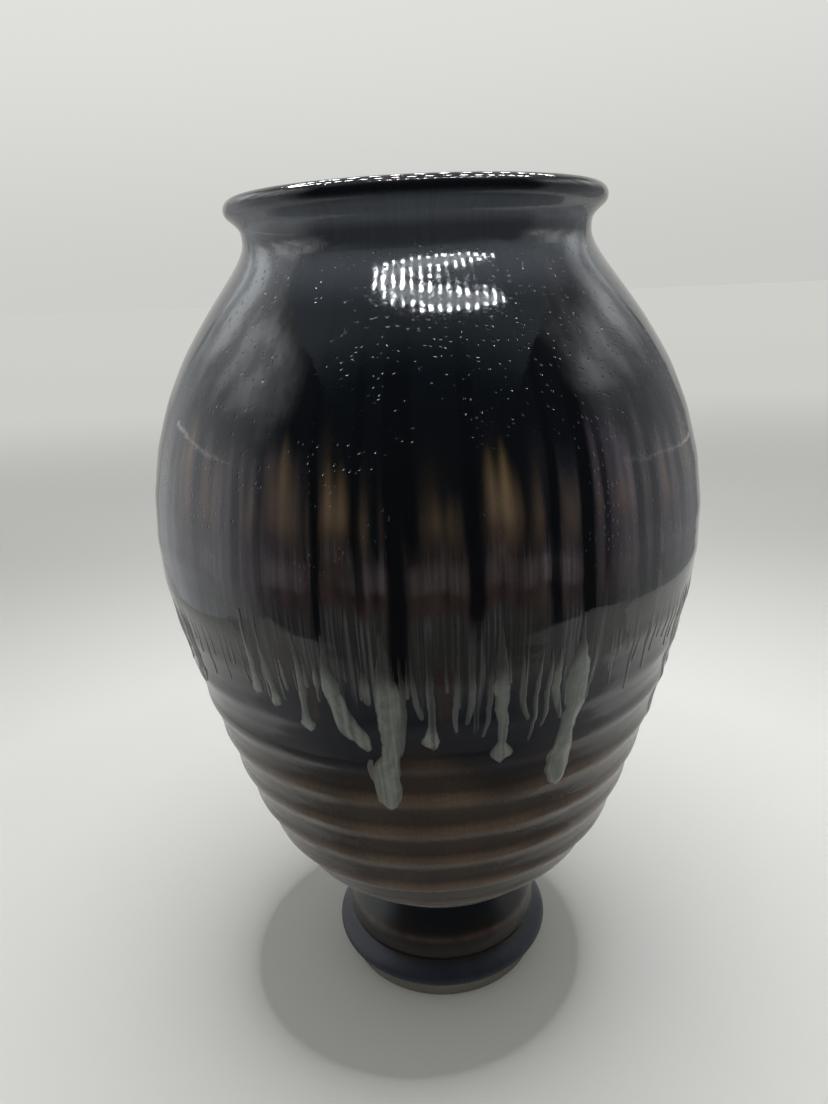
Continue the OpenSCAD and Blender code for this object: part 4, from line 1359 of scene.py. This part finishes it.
def glaze_runs(tree, given):
    """Sweeps a bead along each chain and lays the beads on the glazed wall."""
    chains = add_node(tree, "GeometryNodeMeshToCurve", {"Mesh": given["Geometry"]})
    soft = add_node(tree, "GeometryNodeCurveSplineType", {"Curve": chains},
                    spline_type="CATMULL_ROM")
    fine = add_node(tree, "GeometryNodeSetSplineResolution",
                    {"Geometry": soft, "Resolution": RUN_FINENESS})
    even = add_node(tree, "GeometryNodeResampleCurve", {"Curve": fine}, mode="LENGTH")
    plug(tree, even.inputs["Length"], given["Ring gap"])
    level = add_node(tree, "GeometryNodeSetCurveNormal", {"Curve": even}, mode="Z_UP")
    half = Field(tree, named(tree, "half"))
    circle = add_node(tree, "GeometryNodeCurvePrimitiveCircle",
                      {"Resolution": given["Across"], "Radius": 1.0})
    swept = add_node(tree, "GeometryNodeCurveToMesh",
                     {"Curve": level, "Profile Curve": circle, "Scale": half, "Fill Caps": True})

    x, height, depth = split(tree, tree.nodes.new("GeometryNodeInputPosition").outputs[0])
    width = half / given["Wide half"]
    ragged = flat_noise(tree, x, height, *RAGGED) * RAGGED_REACH * MM \
        * (width * RAGGED_THIN).do("MINIMUM", 1.0)
    turn = (x + ragged) / given["Unrolled radius"]
    east, south = turn.do("SINE"), turn.do("COSINE")
    bead = depth / half
    lift = bead.do("MAXIMUM", 0.0).do("POWER", RUN_CROWN) * given["Rise"] \
        * width.step(0.0, 1.0, THIN_RISE, 1.0) \
        + bead.do("MINIMUM", 0.0) * given["Sink"] * UNDER_SINK - given["Sink"] * EDGE_SINK
    wall = add_node(tree, "GeometryNodeJoinGeometry")
    for name in ("Bowl coat", "Belly coat"):
        info = add_node(tree, "GeometryNodeObjectInfo", {"Object": given[name]})
        tree.links.new(info.outputs["Geometry"], wall.inputs[0])
    far = given["Far radius"]
    hit = add_node(tree, "GeometryNodeRaycast", {
        "Target Geometry": wall, "Source Position": join(tree, east * far, south * far * -1.0, height),
        "Ray Direction": join(tree, east * -1.0, south, 0.0), "Ray Length": far},
        data_type="FLOAT_VECTOR")
    plug(tree, hit.inputs["Attribute"], named(tree, "way", "FLOAT_VECTOR"))
    hit_way = next(out for out in hit.outputs if out.name == "Attribute")
    out, up, _ = split(tree, hit_way)
    laid = add_node(tree, "ShaderNodeVectorMath", {
        0: hit.outputs["Hit Position"],
        1: join(tree, east * out * lift, south * out * lift * -1.0, up * lift)}, operation="ADD")
    kept = add_node(tree, "GeometryNodeStoreNamedAttribute",
                    {"Geometry": swept, "Name": "bead", "Value": bead},
                    data_type="FLOAT", domain="POINT")
    return add_node(tree, "GeometryNodeSetPosition", {"Geometry": kept, "Position": laid})


# A short drip of chance, each value as the lowest and the highest: its turn past the last one,
# the height of its end, its half width, how far it leans and its end's width against its own
DRIP = ((1.6, 3.6), (157, 168), (0.35, 0.7), (-0.3, 0.3), (0.9, 1.6))
# Height and half width of its root, height of its middle over its end, and the last turn
DRIP_ROOT, DRIP_MIDDLE, DRIP_LAST = (176, 0.35), 6, 358
# A run of chance: turns from one to the next and drops to choose from, and where the drops start
RUN_TURNS, RUN_DROPS, DROP_START = (1.6, 2.2, 2.8, 3.4, 4.6), (5, 8, 10, 13, 16, 20, 24, 40), 164
# Its lowest and highest change of the drop, half width of the neck, bulb against the neck, lean
# for each 20 mm of drop, and height of the root
RUN_CHANGES = ((0.8, 1.1), (0.7, 1.2), (0.9, 2.0), (-0.6, 0.6), (173, 182))
LEAN_DROP, NECK_GROWTH = 20, 0.03
# Half width of its root, height and width of its shoulder, share of the drop and width of its
# narrowest place, height of its bulb over its tip in half widths, and width of its tip
ROOT_HALF, SHOULDER, NARROWEST, BULB_HEIGHT, TIP_WIDTH = 0.5, (166, 1.2), (0.35, 0.9), 1.6, 0.5


def fringe():
    """Short thin drips all round under the band, by chance but always the same."""
    draw = random.Random(HIDDEN_SEED + 2)
    drips = []
    turn = 0.0
    while turn < DRIP_LAST:
        past, low, half, lean, end = (draw.uniform(*limits) for limits in DRIP)
        turn += past
        drips.append(((turn, *DRIP_ROOT), (turn, low + DRIP_MIDDLE, half),
                      (turn + lean, low, half * end)))
    return drips


def hidden_runs():
    """Runs for the sides and the back, by chance but always the same."""
    draw = random.Random(HIDDEN_SEED + 1)
    runs = []
    turn = FRONT_EDGE
    while turn < 360 - FRONT_EDGE - 1:
        turn += draw.choice(RUN_TURNS)
        drop = draw.choice(RUN_DROPS)
        change, neck, bulb, lean, top = (draw.uniform(*limits) for limits in RUN_CHANGES)
        drop *= change
        neck += drop * NECK_GROWTH
        bulb *= neck
        lean *= drop / LEAN_DROP
        low = DROP_START - drop
        runs.append(((turn, top, ROOT_HALF), (turn, SHOULDER[0], neck * SHOULDER[1]),
                     (turn + lean / 2, low + drop * NARROWEST[0], neck * NARROWEST[1]),
                     (turn + lean, low + bulb * BULB_HEIGHT, bulb),
                     (turn + lean, low, bulb * TIP_WIDTH)))
    return runs


# The round end of a run, in half widths of its last place: how far below it, and how wide
ROUND_END = ((0.45, 0.8), (0.75, 0.45), (0.86, 0.12))
# Where on a bead, from its edge at 0 to its crown at 1, the pale glaze starts and is full
PALE_START = (0.02, 0.75)
# Half widths over which a run turns from thin to full, and how much pale a thin one has
THIN_RUN, THIN_PALE = (0.8 * MM, 2.4 * MM), 0.45
# How much the thickest part of a run is covered, and the swing of that
RUN_COVER = (0.80, 0.12)
# Height in mm where the runs come out of the band in front, how much higher that is at the turn
# that follows, and the soft step there: above, below, and how much pale they have above it
ROOT_HEIGHT, ROOT_RISE, ROOT_TURN, ROOT_SOFT, ROOT_PALE = 165, 4, 25, (7, 3), 0.12


class VASE_OT_runs(VaseOperator, bpy.types.Operator):
    """Hang the runs of pale glaze from the band"""

    bl_idname = "vase.runs"
    bl_label = "Glaze runs"

    def execute(self, context):
        f, g = settings("vase_form"), settings("vase_glaze")
        unrolled = f.belly + g.coat
        points, edges, halves = [], [], []
        for run in (*FRONT_RUNS, *hidden_runs(), *fringe()):
            tip_turn, tip_height, tip_half = run[-1]
            ends = [(tip_turn, tip_height - tip_half * down, tip_half * width)
                    for down, width in ROUND_END]
            for i, (turn, height, half) in enumerate((*run, *ends)):
                if i:
                    edges.append((len(points) - 1, len(points)))
                points.append((math.radians(turn) * unrolled, height * MM, 0.0))
                halves.append(half * MM)
        mesh = bpy.data.meshes.new("pale_runs")
        mesh.from_pydata(points, edges, [])
        store(mesh, "half", halves)
        obj = bpy.data.objects.new("pale_runs", mesh)
        context.scene.collection.objects.link(obj)
        run_tree(obj, "Glaze runs", glaze_runs, {
            "Bowl coat": bpy.data.objects["bowl_coat"],
            "Belly coat": bpy.data.objects["belly_coat"],
            "Unrolled radius": unrolled, "Far radius": 2 * unrolled, "Ring gap": RUN_STEP,
            "Rise": g.run_rise, "Wide half": WIDE_HALF, "Sink": g.run_sink, "Across": RUN_SIDES,
            "Material": glaze_material("pale_glaze", peel=0.16, speckle=0.08, strands=1.1)})
        self.paint(obj.data)
        place_piece(obj, "pale_glaze_runs")
        return {"FINISHED"}

    def paint(self, mesh):
        """Pale where the bead is thick, and the ground's colour at its edges and its root."""
        turn, height = corners_of(mesh)
        values = paint_values(turn, height)
        bead, half = stored_numbers(mesh, "bead"), stored_numbers(mesh, "half")
        cover = smooth(*PALE_START, bead) * swing(turn, "run cover", RUN_COVER)
        cover = cover * mix(THIN_PALE, 1.0, smooth(*THIN_RUN, half))
        root = ROOT_HEIGHT + ROOT_RISE * np.minimum((nearest(turn, 0) / ROOT_TURN) ** 2, 2)
        cover = cover * mix(ROOT_PALE, 1.0, smooth(root + ROOT_SOFT[0], root - ROOT_SOFT[1], height))
        pale = np.array(settings("vase_colours").pale)
        values["tone"] = mix(values["tone"], pale, np.clip(cover, 0, 1))
        values["fur"] = values["fur"] * (1 - cover)
        values["rough"] = np.full(len(turn), RUN_ROUGH)
        write_values(mesh, values)


class VASE_OT_stage(VaseOperator, bpy.types.Operator):
    """Set the floor, the lights and the camera"""

    bl_idname = "vase.stage"
    bl_label = "Stage"

    def execute(self, context):
        studio = settings("vase_studio")
        self.floor()
        self.world(studio)
        self.lamps(studio)
        self.reflectors(studio)
        self.camera(studio)
        context.scene.view_settings.view_transform = "Standard"
        return {"FINISHED"}

    def floor(self):
        """A wide pale sheet with painted shade, darker near the vase than far off, and a painted glow
        far off that only the camera sees.
        """
        obj = add_mesh("floor", [(-FLOOR_HALF, -FLOOR_HALF, 0), (FLOOR_HALF, -FLOOR_HALF, 0),
                                 (FLOOR_HALF, FLOOR_HALF, 0), (-FLOOR_HALF, FLOOR_HALF, 0)],
                       [(0, 1, 2, 3)])
        material, tree, shader = new_material("floor_sheet")
        x, y, _ = split(tree, tree.nodes.new("ShaderNodeTexCoord").outputs["Object"])
        near, far = FLOOR_PAINTED_SHADE[0][0], FLOOR_PAINTED_SHADE[-1][0]
        ramp = tree.nodes.new("ShaderNodeValToRGB")
        ramp.color_ramp.interpolation = "EASE"
        plug(tree, ramp.inputs["Fac"], (y - near) / (far - near))
        stops = ramp.color_ramp.elements
        for distance, grey in FLOOR_PAINTED_SHADE:
            place = (distance - near) / (far - near)
            stop = stops.new(place) if 0 < place < 1 else stops[0 if place == 0 else -1]
            stop.color = (*(grey * part for part in FLOOR_TINT), 1)
        seen = Field(tree, tree.nodes.new("ShaderNodeLightPath").outputs["Is Camera Ray"])
        start, full, amount = FLOOR_CAMERA_GLOW
        # Painted glow on the far floor, which only the camera sees
        haze = (x * x + y * y).do("SQRT").step(start, full, 0.0, amount)
        plug_all(tree, shader, {
            "Base Color": ramp, "Emission Strength": haze * seen, "Emission Color": BACKDROP_TINT,
            "Roughness": FLOOR_ROUGH, "Specular IOR Level": FLOOR_SHINE})
        obj.data.materials.append(material)

    def world(self, studio):
        """Pale light from all sides, and the backdrop that shows behind the vase."""
        world = bpy.data.worlds.new("studio")
        bpy.context.scene.world = world
        world.use_nodes = True
        tree = world.node_tree
        tree.nodes.clear()
        side, _, up = split(tree, tree.nodes.new("ShaderNodeTexCoord").outputs["Generated"])
        path = tree.nodes.new("ShaderNodeLightPath").outputs
        seen = Field(tree, path["Is Camera Ray"]) + Field(tree, path["Is Glossy Ray"]) \
            + Field(tree, path["Is Transmission Ray"])
        seen = seen.do("MINIMUM", 1.0)
        shown = up.step(*BACKDROP_GLOW) - side * BACKDROP_SLOPE
        strength = seen * shown + (seen * -1.0 + 1.0) * studio.world_light
        back = add_node(tree, "ShaderNodeBackground",
                        {"Color": BACKDROP_TINT, "Strength": strength})
        plug(tree, tree.nodes.new("ShaderNodeOutputWorld").inputs[0], back)

    def lamps(self, studio):
        """A round lamp overhead, and rows of small bright diodes nearer to the front."""
        count = RING_LAMP_SIDES
        rings = [place for radius in (studio.ring, studio.ring + studio.ring_width)
                 for place in oval(RING_LAMP_PLACE, (radius, radius), even_turns(count))]
        ring = add_mesh("ring_lamp", [(x, y, studio.lamp_height) for x, y in rings],
                        [(i, (i + 1) % count, count + (i + 1) % count, count + i)
                         for i in range(count)])
        glow(ring, "ring_light", WHITE, studio.ring_glow)
        ring.visible_camera = ring.visible_glossy = False

        # The two rows meet at both ends of the front, and the right end has one diode
        rows = [lamp_front(along, side)
                for side in (-1, 1) for along in np.linspace(-1, 1, DIODE_ROW)][:-1]
        back = oval(RING_BACK[:2], RING_BACK[2:], np.radians(np.arange(*BACK_DIODE_TURNS)))
        corners, faces = [], []
        for places, radius in ((rows, DIODE_RADIUS), (back, BACK_DIODE_RADIUS)):
            for place in places:
                faces.append(tuple(range(len(corners), len(corners) + DIODE_SIDES)))
                corners.extend((x, y, studio.lamp_height) for x, y in oval(
                    place, (radius, -radius), even_turns(DIODE_SIDES)))
        mirrored(add_mesh("diodes", corners, faces), "diode_light", DIODE_TINT, studio.diode_glow)

        outline = [lamp_front(along, -1) for along in np.linspace(-1, 1, FRONT_PARTS)]
        outline.extend(lamp_front(along, 1) for along in np.linspace(1, -1, FRONT_PARTS)[1:-1])
        card("lamp_front", [(x, y, studio.lamp_height + MM) for x, y in outline], "lamp_haze",
             FRONT_TINT, studio.haze_glow)

    def reflectors(self, studio):
        """The side walls, ceiling, near floor and open front, which only gloss picks up."""
        for name, side, top, start, strength, crease in (
                ("left_wall", -1, WALL_TOPS[0], WALL_STARTS[0], studio.left_glow, LEFT_CREASE),
                ("right_wall", 1, WALL_TOPS[1], WALL_STARTS[1], studio.right_glow, RIGHT_CREASE)):
            x = side * ROOM_SIDE
            corners = [(x, -ROOM_FRONT, 0.0), (x, ROOM_BACK, 0.0), (x, ROOM_BACK, ROOM_TOP),
                       (x, -ROOM_FRONT, ROOM_TOP)]
            tree, shine, (_, y, z) = card(name, corners, name, WALL_TINT, strength)
            level = z.step(*LAMP_SIDE, 0.0, studio.lamp_side_glow) + strength
            cloud = flat_noise(tree, y, z, *WALL_CLOUDS).step(*CLOUD_STEP)
            patch = flat_noise(tree, y, z, *WALL_PATCHES) * PATCH_AMOUNT + 1.0 \
                - cloud * z.step(*CLOUD_HEIGHTS)
            fade = y.step(*start) * y.step(*BACK_FADE) * patch \
                * z.step(top + TOP_FADE[0], top + TOP_FADE[1], 1.0, TOP_LEFT)
            plug(tree, shine, level * fade + studio.room_glow)
            x -= side * MM
            corners = [(x, y, z + rise) for y, z in crease for rise in (-CREASE_HALF, CREASE_HALF)]
            faces = [(2 * i, 2 * i + 2, 2 * i + 3, 2 * i + 1) for i in range(len(crease) - 1)]
            mirrored(add_mesh(name + "_crease", corners, faces), name + "_crease", CREASE_TINT,
                     CREASE_GLOW * strength)

        def level_card(name, far, height, tint):
            return card(name, [(-ROOM_SIDE, -ROOM_FRONT, height), (ROOM_SIDE, -ROOM_FRONT, height),
                               (ROOM_SIDE, far, height), (-ROOM_SIDE, far, height)], name, tint)

        tree, shine, (_, y, _) = level_card("ceiling", CEILING_END, ROOM_TOP, CEILING_TINT)
        plug(tree, shine, y.step(*CEILING_START, studio.room_glow, studio.ceiling_glow))
        tree, shine, (x, y, _) = level_card("front_floor", NEAR_FLOOR_END, NEAR_FLOOR_HEIGHT,
                                            NEAR_FLOOR_TINT)
        # Dimmer in the middle than at the sides: painted shadow of the vase on the floor that the
        # glaze mirrors
        lit = (y.step(*NEAR_FLOOR_RISE) * NEAR_FLOOR_SHARE).do(
            "MAXIMUM", x.do("ABSOLUTE").step(*NEAR_FLOOR_SIDES))
        lit = lit * (FLOOR_GLOW[1] - FLOOR_GLOW[0]) + FLOOR_GLOW[0]
        plug(tree, shine, y.step(*NEAR_FLOOR_START, studio.room_glow, lit))
        card("open_front", [(-ROOM_SIDE, -ROOM_FRONT, 0.0), (ROOM_SIDE, -ROOM_FRONT, 0.0),
                            (ROOM_SIDE, -ROOM_FRONT, ROOM_TOP), (-ROOM_SIDE, -ROOM_FRONT, ROOM_TOP)],
             "dim_room", ROOM_TINT, studio.room_glow)

    def camera(self, studio):
        """The camera at the photograph's place."""
        camera = bpy.data.cameras.new("camera")
        camera.sensor_width = SENSOR_WIDTH
        camera.lens = camera.sensor_width * studio.focal_px / studio.frame_height_px
        camera.clip_start = CLIP_START
        obj = bpy.data.objects.new("camera", camera)
        bpy.context.scene.collection.objects.link(obj)
        yaw, pitch, roll = -studio.yaw, studio.pitch, -studio.roll
        ahead = Vector((math.sin(yaw) * math.cos(pitch), math.cos(yaw) * math.cos(pitch),
                        -math.sin(pitch)))
        level = Vector((math.cos(yaw), -math.sin(yaw), 0.0))
        above = level.cross(ahead)
        right = level * math.cos(roll) + above * math.sin(roll)
        up = above * math.cos(roll) - level * math.sin(roll)
        turn = Matrix((right, up, -ahead)).transposed()
        obj.matrix_world = Matrix.LocRotScale(Vector((0, -studio.distance, studio.height)), turn,
                                              None)
        bpy.context.scene.camera = obj


class VASE_PT_panel(bpy.types.Panel):
    """Lists the operators in the sidebar."""

    bl_idname = "VASE_PT_panel"
    bl_label = "Stoneware vase"
    bl_space_type = "VIEW_3D"
    bl_region_type = "UI"
    bl_category = "Vase"

    def draw(self, context):
        for step in STEPS:
            self.layout.operator(step.bl_idname)
        for group in GROUPS:
            box = self.layout.box()
            box.label(text=group)
            values = settings(group)
            for name in values.__annotations__:
                box.prop(values, name)


GROUPS = {"vase_form": VaseForm, "vase_foot": VaseFoot, "vase_rings": VaseRings,
          "vase_glaze": VaseGlaze, "vase_colours": VaseColours, "vase_studio": VaseStudio}
STEPS = (VASE_OT_clay, VASE_OT_coats, VASE_OT_liner, VASE_OT_pale_band, VASE_OT_runs,
         VASE_OT_stage)
CLASSES = (*GROUPS.values(), *STEPS, VASE_PT_panel)


def register():
    for kind in CLASSES:
        bpy.utils.register_class(kind)
    for name, kind in GROUPS.items():
        setattr(bpy.types.Scene, name, PointerProperty(type=kind))


def unregister():
    for name in GROUPS:
        delattr(bpy.types.Scene, name)
    for kind in reversed(CLASSES):
        bpy.utils.unregister_class(kind)


def main():
    register()
    for make in (bpy.ops.vase.clay, bpy.ops.vase.coats, bpy.ops.vase.liner,
                 bpy.ops.vase.pale_band, bpy.ops.vase.runs, bpy.ops.vase.stage):
        make()


if __name__ == "__main__":
    main()
